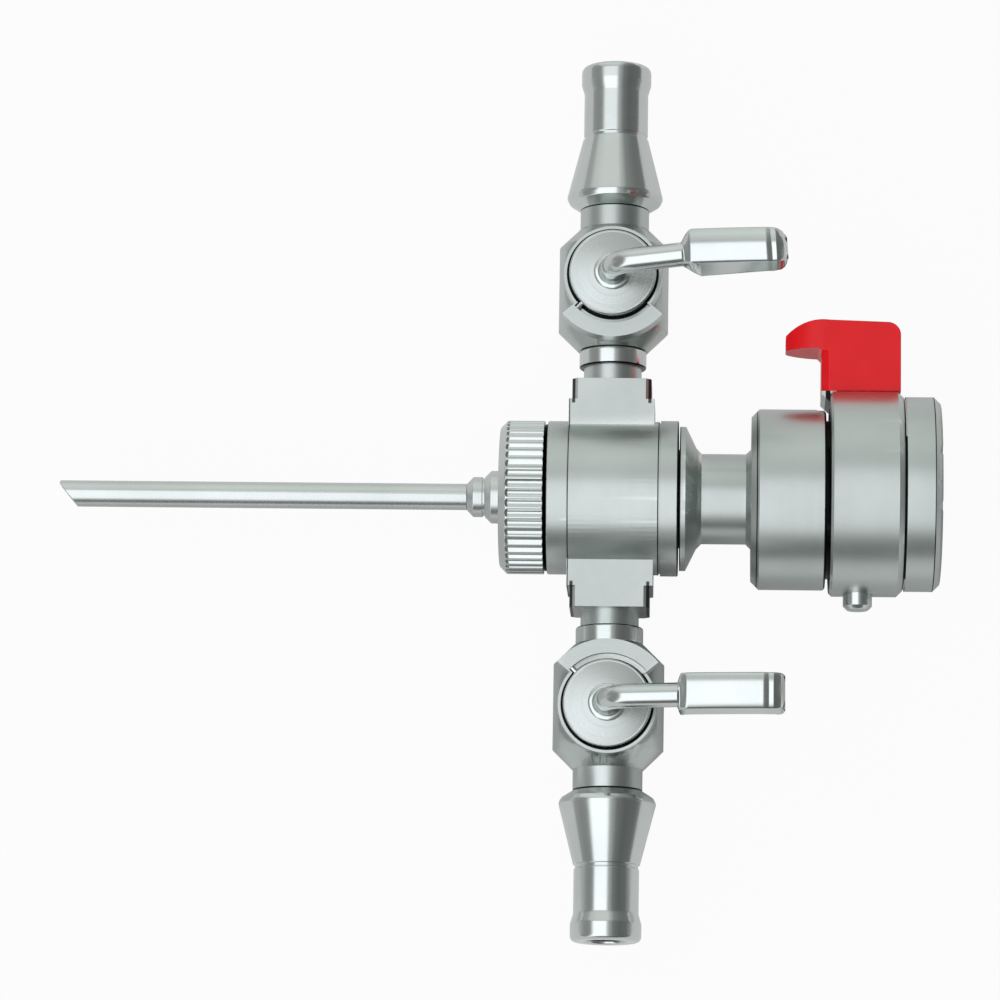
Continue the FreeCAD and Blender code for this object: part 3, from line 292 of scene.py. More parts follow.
def steelMaterial(name, look, axis="X", centre=(0, 0, 0), seams=(), rings=(), plug=None, ears=None):
    material, tree, shader, place = newMaterial(name)
    shift = addNode(tree, "ShaderNodeMapping", (-700, 0), vector_type="POINT")
    turn = Euler(axisTurn[axis]).to_matrix()
    shift.inputs["Rotation"].default_value = axisTurn[axis]
    shift.inputs["Location"].default_value = -(turn @ (Vector(centre) * mm))
    marks = placeGroup(tree, latheMarks, Ring_Scale=look["ringScale"], Broad_Scale=look["broadScale"])
    mottle = placeGroup(tree, finishMottle, Cloud_Scale=look["cloudScale"], Grain_Scale=look["grainScale"])
    edges = placeGroup(tree, edgeHighlightAndPolish)
    wire(tree, (place.outputs["Object"], shift.inputs[0]), (shift.outputs[0], marks.inputs["Vector"]),
         (place.outputs["Object"], mottle.inputs["Vector"]))

    colour = mixNode(tree, look["dark"], look["light"], noiseRange(tree, mottle.outputs["Cloud"], 0.0, 1.0))
    # painted highlight: sharp edges turn lighter
    colour = mixNode(tree, colour, look["edge"], edges.outputs["Mask"])
    # seams, rings and the ears' side steps painted dark as shade
    if seams or rings or plug:
        mask = paintedShadeMask(tree, place.outputs["Object"], seams, rings, plug, ears)
        colour = mixNode(tree, colour, look["paintedShadeColour"], mask)
    wire(tree, (colour, shader.inputs["Base Color"]))

    rough = noiseRange(tree, marks.outputs["Rings"], -look["ringRough"], look["ringRough"])
    rough = mathNode(tree, "ADD", rough, look["roughness"])
    rough = mathNode(tree, "ADD", rough,
                     noiseRange(tree, mottle.outputs["Grain"], -look["grainRough"], look["grainRough"]))
    edgeDrop = mathNode(tree, "MULTIPLY", edges.outputs["Mask"], -look["edgePolish"])
    rough = mathNode(tree, "ADD", rough, edgeDrop, clamp=True)
    wire(tree, (rough, shader.inputs["Roughness"]))

    relief = mathNode(tree, "ADD", mathNode(tree, "MULTIPLY", marks.outputs["Rings"], look["ringRelief"]),
                      mathNode(tree, "MULTIPLY", mottle.outputs["Grain"], look["grainRelief"]))
    addBump(tree, shader, relief, look["bump"], look["bumpHeight"])
    shader.inputs["Metallic"].default_value = 1.0
    shader.inputs["Anisotropic"].default_value = look["anisotropy"]
    if look["anisotropy"]:
        tangent = addNode(tree, "ShaderNodeTangent", direction_type="RADIAL", axis=axis)
        wire(tree, (tangent.outputs[0], shader.inputs["Tangent"]))
    return material


# edge is the colour of the painted highlight on sharp edges
satin = {"dark": (0.545, 0.590, 0.565), "light": (0.615, 0.655, 0.632), "edge": (0.78, 0.81, 0.80),
         "roughness": 0.33, "ringRough": 0.02, "grainRough": 0.03, "edgePolish": 0.08,
         "ringScale": 5200.0, "broadScale": 500.0, "cloudScale": 80.0, "grainScale": 4200.0,
         "ringRelief": 0.8, "grainRelief": 0.6, "bump": 0.10, "bumpHeight": 0.00001, "anisotropy": 0.0,
         "paintedShadeColour": (0.012, 0.014, 0.013)}     # the colour of the painted shade in the seams
spun = dict(satin, roughness=0.27, ringRough=0.05, ringRelief=1.6, grainRelief=0.3, ringScale=7000.0,
            broadScale=1400.0, bump=0.18, anisotropy=0.6, dark=(0.55, 0.59, 0.57), light=(0.63, 0.66, 0.645))
polished = dict(satin, dark=(0.63, 0.67, 0.65), light=(0.70, 0.73, 0.715), edge=(0.82, 0.84, 0.83),
                roughness=0.16, ringRough=0.03, grainRough=0.025, edgePolish=0.03, ringRelief=0.5,
                grainRelief=0.4, bump=0.15)
fluted = dict(polished, roughness=0.17, bump=0.08)
drawn = dict(polished, edge=polished["light"], roughness=0.27, ringRough=0.01, grainRough=0.01, edgePolish=0.0,
             ringRelief=0.05, grainRelief=0.1, bump=0.03)
cast = dict(satin, edge=satin["light"], edgePolish=0.0)
spring = dict(satin, dark=(0.34, 0.35, 0.35), light=(0.45, 0.46, 0.46), roughness=0.26)

# painted shade lines as (x, half width) in mm: nut to drum, the drum's two lines, drum to flange, hub's edge,
# hub to lock ring, lock ring to cover, cover's rear line
# ears gives where the painted shade on the ears' side steps lies
satinMain = steelMaterial("satinSteelMain", satin, ears={"side": 5.55, "foot": 6.04, "from": 13.7, "share": 0.9},
                          seams=((-41.66, 0.09), (-38.35, 0.03), (-24.80, 0.04), (-21.70, 0.24), (-9.95, 0.05),
                                 (0.70, 0.33), (12.10, 0.08), (16.60, 0.04)))
# painted shade in the seam between the nut and the drum
flutedSteel = steelMaterial("flutedNutSteel", fluted, seams=((-41.90, 0.20),))
drawnSteel = steelMaterial("drawnTubeSteel", drawn)
satinCock = {}
for side, sign in (("upper", 1), ("lower", -1)):
    # painted shade in the gap round the plug's disc and in the seam round each outlet
    discGapShade = {"centre": (cockX, sign * plugY), "r": 6.76, "half": 0.17, "fromZ": (5.0, 5.3)}
    satinCock[side] = steelMaterial("satinSteelCock_" + side, cast, "Y", (cockX, 0, 0), rings=((44.80, 0.08),),
                                    plug=discGapShade)
spunUpper = steelMaterial("spunPlugUpper", spun, "Z", (cockX, plugY, 0))
spunLower = steelMaterial("spunPlugLower", spun, "Z", (cockX, -plugY, 0))
brightMain = steelMaterial("polishedSteelMain", polished)
# painted shade in the seam round each outlet's collar
brightCock = steelMaterial("polishedSteelCock", polished, "Y", (cockX, 0, 0), rings=((20.10, 0.12),))
springSteel = steelMaterial("springSteel", spring)


def plasticMaterial():
    look = {"dark": (0.68, 0.004, 0.007), "light": (0.80, 0.008, 0.014), "roughness": 0.34, "spread": 0.06,
            "cloudScale": 220.0, "grainScale": 5200.0, "edgeHighlightShare": 0.5, "bump": 0.2, "bumpHeight": 0.00002,
            "subsurface": 0.08, "radius": (0.002, 0.0004, 0.0004), "specular": 0.28, "coat": 0.06, "coatRough": 0.12}
    material, tree, shader, place = newMaterial("redPadPlastic")
    mottle = placeGroup(tree, finishMottle, Cloud_Scale=look["cloudScale"], Grain_Scale=look["grainScale"])
    edges = placeGroup(tree, edgeHighlightAndPolish)
    # random tone, with sharp edges painted lighter as a highlight
    toneAndEdgeHighlight = mathNode(tree, "ADD", mottle.outputs["Cloud"],
                       mathNode(tree, "MULTIPLY", edges.outputs["Mask"], look["edgeHighlightShare"]))
    rough = noiseRange(tree, mottle.outputs["Grain"], look["roughness"] - look["spread"],
                       look["roughness"] + look["spread"])
    wire(tree, (place.outputs["Object"], mottle.inputs["Vector"]), (rough, shader.inputs["Roughness"]),
         (mixNode(tree, look["dark"], look["light"], toneAndEdgeHighlight), shader.inputs["Base Color"]))
    addBump(tree, shader, mottle.outputs["Grain"], look["bump"], look["bumpHeight"])
    for label, key in (("Subsurface Weight", "subsurface"), ("Subsurface Radius", "radius"),
                       ("Specular IOR Level", "specular"), ("Coat Weight", "coat"), ("Coat Roughness", "coatRough")):
        shader.inputs[label].default_value = look[key]
    return material


def rubberMaterial():
    look = {"dark": (0.012, 0.012, 0.013), "light": (0.035, 0.035, 0.037), "roughness": (0.5, 0.7),
            "cloudScale": 300.0, "grainScale": 6000.0}
    material, tree, shader, place = newMaterial("sealRubber")
    mottle = placeGroup(tree, finishMottle, Cloud_Scale=look["cloudScale"], Grain_Scale=look["grainScale"])
    wire(tree, (place.outputs["Object"], mottle.inputs["Vector"]),
         (mixNode(tree, look["dark"], look["light"], mottle.outputs["Cloud"]), shader.inputs["Base Color"]),
         (noiseRange(tree, mottle.outputs["Grain"], *look["roughness"]), shader.inputs["Roughness"]))
    return material


redPlastic = plasticMaterial()
sealRubber = rubberMaterial()
print("materials made")


def plainMesh(piece, label):
    # the evaluated result as a plain mesh, with no modifier left on the object
    bpy.context.view_layer.update()
    graph = bpy.context.evaluated_depsgraph_get()
    mesh = bpy.data.meshes.new_from_object(piece.evaluated_get(graph), preserve_all_data_layers=True,
                                           depsgraph=graph)
    mesh.name = label
    piece.modifiers.clear()
    piece.data = mesh
    return piece


def addObject(name, data):
    thing = bpy.data.objects.new(name, data)
    bpy.context.scene.collection.objects.link(thing)
    return thing


def rideAlong(piece, nodeName):
    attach(piece, frame["nodes"][nodeName]["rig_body"])


def standIn(piece, nodeName):
    # the piece rides with the node's body and stands for it
    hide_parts(nodeName)
    rideAlong(piece, nodeName)
    return piece


def dress(thing, material):
    thing.data.materials.clear()
    thing.data.materials.append(material)


softened = {"edge": 0.10, "fineEdge": 0.06, "padEdge": 0.35, "padSteps": 3,     # rounds in mm
            "angle": 32, "flat": 0.6, "merge": 0.002, "weight": 50}


def softenedPiece(nodeName, pieceName, material, edge=0.0, segments=2):
    # a merged copy of the node's solid whose sharp edges get the small round that catches the light
    merge, angle = softened["merge"] * mm, math.radians(softened["angle"])
    mesh = frame["nodes"][nodeName].data.copy()
    mesh.name = pieceName
    bm = bmesh.new()
    bm.from_mesh(mesh)
    bmesh.ops.remove_doubles(bm, verts=bm.verts, dist=merge)
    bmesh.ops.dissolve_degenerate(bm, edges=bm.edges, dist=merge)
    bmesh.ops.dissolve_limit(bm, angle_limit=math.radians(softened["flat"]), verts=bm.verts, edges=bm.edges)
    for face in bm.faces:
        face.smooth = True
    bm.to_mesh(mesh)
    bm.free()
    mesh.set_sharp_from_angle(angle=angle)
    piece = addObject(pieceName, mesh)
    if edge:
        bevel = piece.modifiers.new("softEdges", "BEVEL")
        bevel.width = edge * mm
        bevel.segments = segments
        bevel.limit_method = "ANGLE"
        bevel.angle_limit = angle
        bevel.miter_outer = "MITER_ARC"
    weights = piece.modifiers.new("flatFaces", "WEIGHTED_NORMAL")
    weights.weight = softened["weight"]
    weights.keep_sharp = True
    plainMesh(piece, pieceName)
    dress(piece, material)
    return standIn(piece, nodeName)


def makeTurningTree(name, withFlutes=False):
    # the piece's own points are its profile (along, radius); each becomes one row of a turned skin
    inputs = [("Geometry", "NodeSocketGeometry"), ("Segments", "NodeSocketInt"), ("Turn", "NodeSocketRotation"),
              ("Place", "NodeSocketVector"), ("Finish", "NodeSocketMaterial")]
    if withFlutes:
        inputs += [("Flutes", "NodeSocketInt"), ("Outside", "NodeSocketFloat"), ("Depth", "NodeSocketFloat"),
                   ("Top Half", "NodeSocketFloat"), ("Start", "NodeSocketFloat"), ("Run In", "NodeSocketFloat")]
    tree, given, out = newGroup(name, inputs, [("Geometry", "NodeSocketGeometry")], "GeometryNodeTree")
    size = addNode(tree, "GeometryNodeAttributeDomainSize", component="MESH")
    spot = addNode(tree, "GeometryNodeInputPosition")
    grid = addNode(tree, "GeometryNodeMeshGrid")
    spread = mathNode(tree, "SUBTRACT", size.outputs["Point Count"], 1.0)
    columns = mathNode(tree, "ADD", given.outputs["Segments"], 1.0)
    wire(tree, (given.outputs["Geometry"], size.inputs["Geometry"]), (spread, grid.inputs["Size X"]),
         (size.outputs["Point Count"], grid.inputs["Vertices X"]), (columns, grid.inputs["Vertices Y"]))
    grid.inputs["Size Y"].default_value = 1.0

    cell = addNode(tree, "ShaderNodeSeparateXYZ")
    row = mathNode(tree, "ROUND", mathNode(tree, "ADD", cell.outputs[0], mathNode(tree, "MULTIPLY", spread, 0.5)))
    angle = mathNode(tree, "MULTIPLY", mathNode(tree, "ADD", cell.outputs[1], 0.5), 2 * math.pi)
    pick = addNode(tree, "GeometryNodeSampleIndex", data_type="FLOAT_VECTOR", domain="POINT")
    profile = addNode(tree, "ShaderNodeSeparateXYZ")
    wire(tree, (spot.outputs[0], cell.inputs[0]), (given.outputs["Geometry"], pick.inputs["Geometry"]),
         (spot.outputs[0], pick.inputs["Value"]), (row, pick.inputs["Index"]), (pick.outputs[0], profile.inputs[0]))
    along, radius = profile.outputs[0], profile.outputs[1]
    if withFlutes:
        # distance round the outside from the nearest flute's middle
        turnShare = mathNode(tree, "MULTIPLY", mathNode(tree, "ADD", cell.outputs[1], 0.5), given.outputs["Flutes"])
        offMiddle = mathNode(tree, "ABSOLUTE", mathNode(
            tree, "SUBTRACT", mathNode(tree, "FRACT", mathNode(tree, "ADD", turnShare, 0.5)), 0.5))
        pitch = mathNode(tree, "DIVIDE", mathNode(tree, "MULTIPLY", given.outputs["Outside"], 2 * math.pi),
                         given.outputs["Flutes"])
        side = mathNode(tree, "MULTIPLY", offMiddle, pitch)
        share = mathNode(tree, "MINIMUM", mathNode(tree, "DIVIDE", side, given.outputs["Top Half"]), 1.0)
        # round floor: deepest in the middle, nothing at the tooth's top
        hollow = mathNode(tree, "SUBTRACT", 1.0, mathNode(tree, "MULTIPLY", share, share))
        # ball-ended cutter: the flute starts later towards its sides
        lag = mathNode(tree, "SUBTRACT", 1.0, mathNode(tree, "SQRT", hollow))
        start = mathNode(tree, "ADD", given.outputs["Start"], mathNode(tree, "MULTIPLY", lag, given.outputs["Run In"]))
        runEnd = mathNode(tree, "ADD", start, given.outputs["Run In"])
        sunk = mathNode(tree, "MULTIPLY", hollow, rangeNode(tree, along, start, runEnd, 0.0, 1.0, True))
        floor = mathNode(tree, "SUBTRACT", given.outputs["Outside"],
                         mathNode(tree, "MULTIPLY", sunk, given.outputs["Depth"]))
        radius = mathNode(tree, "MINIMUM", radius, floor)
    skin = addNode(tree, "ShaderNodeCombineXYZ")
    wire(tree, (along, skin.inputs[0]),
         (mathNode(tree, "MULTIPLY", radius, mathNode(tree, "COSINE", angle)), skin.inputs[1]),
         (mathNode(tree, "MULTIPLY", radius, mathNode(tree, "SINE", angle)), skin.inputs[2]))
    move = addNode(tree, "GeometryNodeSetPosition")
    weld = addNode(tree, "GeometryNodeMergeByDistance")
    weld.inputs["Distance"].default_value = weldReach
    smooth = addNode(tree, "GeometryNodeSetShadeSmooth")
    stand = addNode(tree, "GeometryNodeTransform")
    realize = addNode(tree, "GeometryNodeRealizeInstances")
    finish = addNode(tree, "GeometryNodeSetMaterial")
    wire(tree, (grid.outputs["Mesh"], move.inputs["Geometry"]), (skin.outputs[0], move.inputs["Position"]),
         (move.outputs[0], weld.inputs["Geometry"]), (weld.outputs[0], smooth.inputs["Geometry"]),
         (smooth.outputs[0], stand.inputs["Geometry"]), (given.outputs["Turn"], stand.inputs["Rotation"]),
         (given.outputs["Place"], stand.inputs["Translation"]), (stand.outputs[0], realize.inputs[0]),
         (realize.outputs[0], finish.inputs["Geometry"]), (given.outputs["Finish"], finish.inputs["Material"]),
         (finish.outputs[0], out.inputs[0]))
    return tree


turningTree = makeTurningTree("turnedPiece")
flutingTree = makeTurningTree("flutedPiece", withFlutes=True)


def setInput(modifier, label, value):
    for item in modifier.node_group.interface.items_tree:
        if item.item_type == "SOCKET" and item.in_out == "INPUT" and item.name == label:
            modifier[item.identifier] = value


def roundedProfile(corners, closed, steps):
    # corners are (along, radius, round) in mm; each corner gets an arc, with a row close to each side of it
    support, nearest = 0.05, 0.2     # that row is this many mm off, or this share of a short side
    longest = 0.45                   # share of a side that a round may take
    points = []
    count = len(corners)
    for i, (x, r, size) in enumerate(corners):
        here = Vector((x, r))
        before = Vector(corners[i - 1][:2]) - here
        after = Vector(corners[(i + 1) % count][:2]) - here
        atEnd = not closed and i in (0, count - 1)
        if atEnd or size <= 0:
            points.append(here)
            continue
        opening = before.angle(after)
        reach = min(size / math.tan(opening / 2), longest * before.length, longest * after.length)
        start = here + before.normalized() * reach
        end = here + after.normalized() * reach
        points.append(start + before.normalized() * min(support, nearest * before.length))
        for k in range(steps + 1):
            t = k / steps
            points.append((1 - t) ** 2 * start + 2 * t * (1 - t) * here + t ** 2 * end)
        points.append(end + after.normalized() * min(support, nearest * after.length))
    if closed:
        points.append(points[0])
    return points


def closeSkin(mesh):
    bm = bmesh.new()
    bm.from_mesh(mesh)
    bmesh.ops.dissolve_degenerate(bm, edges=bm.edges, dist=sliver)
    bmesh.ops.recalc_face_normals(bm, faces=bm.faces)
    bm.to_mesh(mesh)
    bm.free()


# turns the lathe's X onto the piece's own axis
turns = {"X": (0, 0, 0), "Y": (0, 0, math.pi / 2), "-Y": (0, 0, -math.pi / 2), "Z": (0, -math.pi / 2, 0)}


def turnedPiece(pieceName, corners, material, axis="X", place=(0, 0, 0), segments=96, closed=True, flutes=None,
                steps=4):
    points = roundedProfile(corners, closed, steps)
    mesh = bpy.data.meshes.new(pieceName)
    mesh.from_pydata([(p.x * mm, p.y * mm, 0) for p in points], [], [])
    piece = addObject(pieceName, mesh)
    lathe = piece.modifiers.new("lathe", "NODES")
    lathe.node_group = flutingTree if flutes else turningTree
    setInput(lathe, "Segments", segments)
    setInput(lathe, "Turn", turns[axis])
    setInput(lathe, "Place", [c * mm for c in place])
    setInput(lathe, "Finish", material)
    for label, value in (flutes or {}).items():
        setInput(lathe, label, value if label == "Flutes" else value * mm)
    plainMesh(piece, pieceName)
    closeSkin(piece.data)
    return piece


slotMaterials = {"satin_steel": satinMain, "spun_steel": spunUpper, "polished_steel": brightMain,
                 "spring_steel": springSteel, "seal_rubber": sealRubber, "red_plastic": redPlastic}
for row in frame["record"]["subparts"]:
    dress(frame["nodes"][row["node"]], slotMaterials[row["material_slot"]])
dress(frame["nodes"]["lower_plug"], spunLower)

for name in ("coupling_body", "swivel_core", "swivel_drum", "lock_ring"):
    softenedPiece(name, name + "_soft", satinMain, softened["edge"])
# the cover and the stopcocks' bodies have holes and ribs too close to their edges for a round
softenedPiece("latch_cover", "latch_cover_soft", satinMain)
softenedPiece("sheath_tube", "sheath_tube_soft", drawnSteel, softened["fineEdge"])
for name in ("guide_pin", "seal_nut"):
    softenedPiece(name, name + "_soft", brightMain, softened["fineEdge"])
for side in ("upper", "lower"):
    softenedPiece(side + "_cock_body", side + "_cock_soft", satinCock[side])
softenedPiece("thumb_pad", "thumb_pad_soft", redPlastic, softened["padEdge"],
              softened["padSteps"])

# the latch springs get a mesh of their own; in the real part they shorten by the latch's travel, towards the seats in
# their pockets
latchSprings = softenedPiece("latch_springs", "latch_springs_soft", springSteel)
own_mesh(latchSprings)
print("softened pieces made")

nut = {"front": -48.8, "rear": -41.7, "outside": 11.65, "edge": 1.1, "hole": 4.05, "thread": 6.05, "wall": 1.6,
       "flutes": 48, "columns": 16, "depth": 0.46, "topHalf": 0.64, "start": -47.9, "runIn": 0.5,
       "seam": (0.42, 0.5),     # width and depth of the step at the rear
       "rows": 14, "rowStep": 0.09, "flat": 0.25}     # rows for the flutes to run in over, after a plain band


def makeNut():
    corners = [(nut["front"], nut["hole"], 0.1), (nut["front"], nut["outside"] - nut["edge"], 0.35),
               (nut["front"] + nut["edge"], nut["outside"], 0.35)]
    for i in range(1, nut["rows"] + 1):
        corners.append((nut["front"] + nut["edge"] + nut["flat"] + i * nut["rowStep"], nut["outside"], 0))
    wide, deep = nut["seam"]
    corners += [(nut["rear"] - wide - nut["flat"], nut["outside"], 0), (nut["rear"] - wide, nut["outside"], 0.12),
                (nut["rear"] - wide, nut["outside"] - deep, 0), (nut["rear"], nut["outside"] - deep, 0),
                (nut["rear"], nut["thread"], 0.1), (nut["front"] + nut["wall"], nut["thread"], 0.1),
                (nut["front"] + nut["wall"], nut["hole"], 0.1)]
    flutes = {"Flutes": nut["flutes"], "Outside": nut["outside"], "Depth": nut["depth"],
              "Top Half": nut["topHalf"], "Start": nut["start"], "Run In": nut["runIn"]}
    piece = turnedPiece("fluted_nut", corners, flutedSteel, segments=nut["flutes"] * nut["columns"], flutes=flutes)
    standIn(piece, "knurled_nut")


ferrule = {"noseX": -53.9, "noseR": 3.05, "noseLength": 2.75, "groove": (0.35, 0.2), "cone": 0.95, "shoulderR": 4.0,
           "flangeX": -47.2, "flangeR": 5.7, "rearX": -45.8, "spigotR": 3.8, "spigotEnd": -40.8, "bore": 2.5,
           "tubeHole": 1.82, "lip": 0.2, "taper": 0.98}


def makeFerrule():
    noseEnd = ferrule["noseX"] + ferrule["noseLength"]
    wide, deep = ferrule["groove"]
    noseR = ferrule["noseR"]
    corners = [
        (ferrule["noseX"], ferrule["tubeHole"], 0),
        (ferrule["noseX"], ferrule["tubeHole"] + ferrule["lip"], 0.08),
        (ferrule["noseX"] + ferrule["taper"], noseR, 0.25), (noseEnd - wide, noseR, 0.1),
        (noseEnd - wide, noseR - deep, 0.05), (noseEnd, noseR - deep, 0.05), (noseEnd, noseR, 0.1),
        (noseEnd + ferrule["cone"], ferrule["shoulderR"], 0.3),
        (ferrule["flangeX"], ferrule["shoulderR"], 0.05), (ferrule["flangeX"], ferrule["flangeR"], 0.1),
        (ferrule["rearX"], ferrule["flangeR"], 0.1), (ferrule["rearX"], ferrule["spigotR"], 0.05),
        (ferrule["spigotEnd"], ferrule["spigotR"], 0.1), (ferrule["spigotEnd"], ferrule["bore"], 0.1),
        (ferrule["rearX"], ferrule["bore"], 0.05), (ferrule["rearX"], ferrule["tubeHole"], 0.05)]
    piece = turnedPiece("turned_ferrule", corners, drawnSteel)
    standIn(piece, "tube_ferrule")


collarRing = {"start": 20.05, "end": 22.65, "r": 5.1, "hole": 3.32, "round": 0.32}
barb = {"spigotStart": 41.85, "neckEnd": 44.85, "spigotR": 3.4, "neckR": 5.25, "baseY": 46.75, "baseR": 7.35,
        "baseBevel": (0.8, 0.4), "coneEnd": 55.95, "step": 0.12, "groove": (0.55, 0.75, 0.16), "pipeR": 4.9,
        "beadStart": 63.35, "swell": 1.5, "beadR": 5.35, "end": 67.55, "bore": 3.1}


def makeOutletRings(side, sign):
    axis = "Y" if sign > 0 else "-Y"
    place = (cockX, 0, 0)
    c = collarRing
    corners = [(c["start"], c["hole"], 0.05), (c["start"], c["r"], c["round"]), (c["end"], c["r"], c["round"]),
               (c["end"], c["hole"], 0.05)]
    standIn(turnedPiece(side + "_collar_ring", corners, brightCock, axis, place), side + "_collar")
    b = barb
    back, drop = b["baseBevel"]
    flat, out, deep = b["groove"]
    corners = [(b["spigotStart"], b["bore"], 0.1), (b["spigotStart"], b["spigotR"], 0.1),
               (b["neckEnd"], b["spigotR"], 0.05), (b["neckEnd"], b["neckR"], 0.15),
               (b["baseY"] - back, b["baseR"] - drop, 0.5), (b["baseY"], b["baseR"], back),
               (b["coneEnd"], b["pipeR"] + b["step"], 0.05), (b["coneEnd"] + b["step"], b["pipeR"] - deep, 0.05),
               (b["coneEnd"] + flat, b["pipeR"] - deep, 0.1), (b["coneEnd"] + out, b["pipeR"], 0.1),
               (b["beadStart"], b["pipeR"], 1.2), (b["beadStart"] + b["swell"], b["beadR"], 1.1),
               (b["end"], b["beadR"], 1.3), (b["end"], b["bore"], 0.45)]
    piece = turnedPiece(side + "_barb_turned", corners, brightCock, axis, place, segments=128, steps=6)
    standIn(piece, side + "_hose_barb")


dome = {"r": 6.5, "rim": 10.16, "rise": 0.46, "base": 9.9, "round": 0.12, "steps": 12}


def makePlugDome(side, sign, material):
    # the disc's face is turned very slightly crowned, which gives it its bright sector
    corners = [(dome["base"], 0.0, 0), (dome["base"], dome["r"], 0.03), (dome["rim"], dome["r"], dome["round"])]
    for i in range(dome["steps"] - 1, -1, -1):
        share = i / dome["steps"]
        corners.append((dome["rim"] + dome["rise"] * (1 - share ** 2), dome["r"] * share, 0))
    piece = turnedPiece(side + "_plug_face", corners, material, "Z", (cockX, sign * plugY, 0), segments=128,
                        closed=False)
    rideAlong(piece, side + "_plug")


# tables are (place along the lever from the plug's axis, value), in mm
lever = {"stemRows": (10.1, 10.6, 11.4, 12.1, 12.7), "stemEnd": 12.7, "stemR": 1.74, "bendR": 4.1,
         "bendRows": 20, "rise": 8.0, "rodR": 1.82, "rodRows": (0.15, 0.35, 0.6, 0.85, 0.97),
         "neck": 10.4, "tip": 26.35, "neckTop": 19.7, "step": 0.075,
         # slope of the plate's top along it, degrees, above 0 downhill towards the tip
         "slope": ((10.4, -8), (10.5, 14), (10.7, 10), (10.85, -38), (11.4, -40), (11.8, -24), (12.1, -6.5),
                   (23.0, -1.0), (23.25, 13), (23.8, 16), (24.0, -7), (24.5, -6), (24.7, 26), (25.6, 40),
                   (26.1, 62), (26.35, 75)),
         "under": ((10.4, 16.08), (11.2, 16.25), (12.5, 16.9), (24.0, 17.2), (25.4, 17.6), (26.0, 18.2),
                   (26.35, 18.9)),
         # profile of the stem's turned foot: height, radius, round
         "foot": ((10.16, 1.2, 0), (10.16, 2.85, 0.05), (11.0, 2.85, 0.4), (11.15, 2.2, 0.3), (10.7, 1.7, 0.1),
                  (10.7, 1.2, 0))}
# lean and bend in degrees; far and near are the plate's half widths, level is where its crown is highest
plates = {
    "upper": {"lean": 4.8, "bend": 3.8, "far": 3.6,
              "near": ((10.4, 1.8), (11.5, 2.5), (13.2, 3.35), (18.0, 3.1), (26.35, 2.6)),
              "crown": 4.8, "level": 0.9, "crease": -1.75, "facet": 2.0, "blend": (10.5, 12.4),
              "ends": ((24.2, 1.0), (25.1, 0.95), (25.7, 0.84), (26.1, 0.68), (26.35, 0.46))},
    "lower": {"lean": 0.4, "bend": 0.0, "far": 3.05, "near": ((10.4, 2.9), (26.35, 2.9)),
              "crown": 6.0, "level": 1.3, "crease": -2.3, "facet": 1.5, "blend": (10.5, 11.1),
              "ends": ((25.7, 1.0), (26.05, 0.97), (26.25, 0.9), (26.35, 0.8))}}
# the plate's section: steps in mm, shares of a side, and corner points as (in from the side, up or down)
section = {"inset": 0.3, "crease": 0.05, "turn": 0.06, "thinnest": 0.35, "round": 0.8,
           "facetShares": (0.15, 0.4, 0.7, 0.92, 1.0), "underShares": (0.25, 0.5, 0.75, 1.0),
           "nearEdge": (0.04, 0.15), "nearUnder": (0.35, 0.1), "farUnder": (0.3, 0.2), "farEdge": (0.04, 0.75),
           "farSide": (0.05, 0.35), "farTop": (0.16, 0.1)}
topPoints = 22     # points across the lever's top
nearPoints = 6     # points down its near side
# the same points round the rod, in degrees: over the top, down the near side, and below
rodArcs = ((50, 130), (136, 181), (190, 405))


def fromTable(table, s):
    if s <= table[0][0]:
        return table[0][1]
    for (s0, v0), (s1, v1) in zip(table, table[1:]):
        if s <= s1:
            return v0 + (v1 - v0) * (s - s0) / (s1 - s0)
    return table[-1][1]


def plateSection(plate, s, top):
    # across and up, in mm: crowned top, crease, near facet, underside, far edge
    under, near, far = fromTable(lever["under"], s), fromTable(plate["near"], s), plate["far"]
    crown, level, crease = plate["crown"], plate["level"], plate["crease"]
    inset, turn, corner = section["inset"], section["turn"], section["round"]

    def crownAt(u):
        return top - (crown - math.sqrt(crown ** 2 - (u - level) ** 2))

    def nearPoint(key, height, way):
        return section[key][0] - near, height + way * section[key][1]

    def farPoint(key, height, way):
        return far - section[key][0], height + way * section[key][1]

    across = [far - inset + (crease + turn - far + inset) * i / (topPoints - 1) for i in range(topPoints)]
    points = [(u, crownAt(u)) for u in across]
    edge = crownAt(crease) - section["crease"]
    foot = max(edge - plate["facet"], under + section["thinnest"])
    points.append((crease - section["crease"], edge - turn))
    points += [(crease - (near + crease) * t, edge + (foot - edge) * t) for t in section["facetShares"]]
    points += [nearPoint("nearEdge", foot, -1), nearPoint("nearUnder", under, 1), (corner - near, under)]
    points += [(corner - near + (near + far - 2 * corner) * t, under) for t in section["underShares"]]
    side = crownAt(far - inset)
    points += [farPoint("farUnder", under, 1), farPoint("farEdge", under, 1), (far, (under + side) / 2),
               farPoint("farSide", side, -1), farPoint("farTop", side, -1)]
    share = fromTable(plate["ends"], s)
    middle = (far - near) / 2
    return [(middle + (u - middle) * share, w) for u, w in points]


def rodAngles(count):
    # as many points round the rod as the plate's section has
    shares = (topPoints, nearPoints, count - topPoints - nearPoints)
    return [low + (high - low) * i / (n - 1) for (low, high), n in zip(rodArcs, shares) for i in range(n)]


def circle(angles, r):
    return [(math.cos(math.radians(t)) * r, math.sin(math.radians(t)) * r) for t in angles]


def rodRing(angles, x, z, lean, r):
    # a ring of the rod; lean is how far its axis is turned from upright
    turn = math.radians(lean)
    return [(x - math.cos(turn) * up, side, z + math.sin(turn) * up) for side, up in circle(angles, r)]


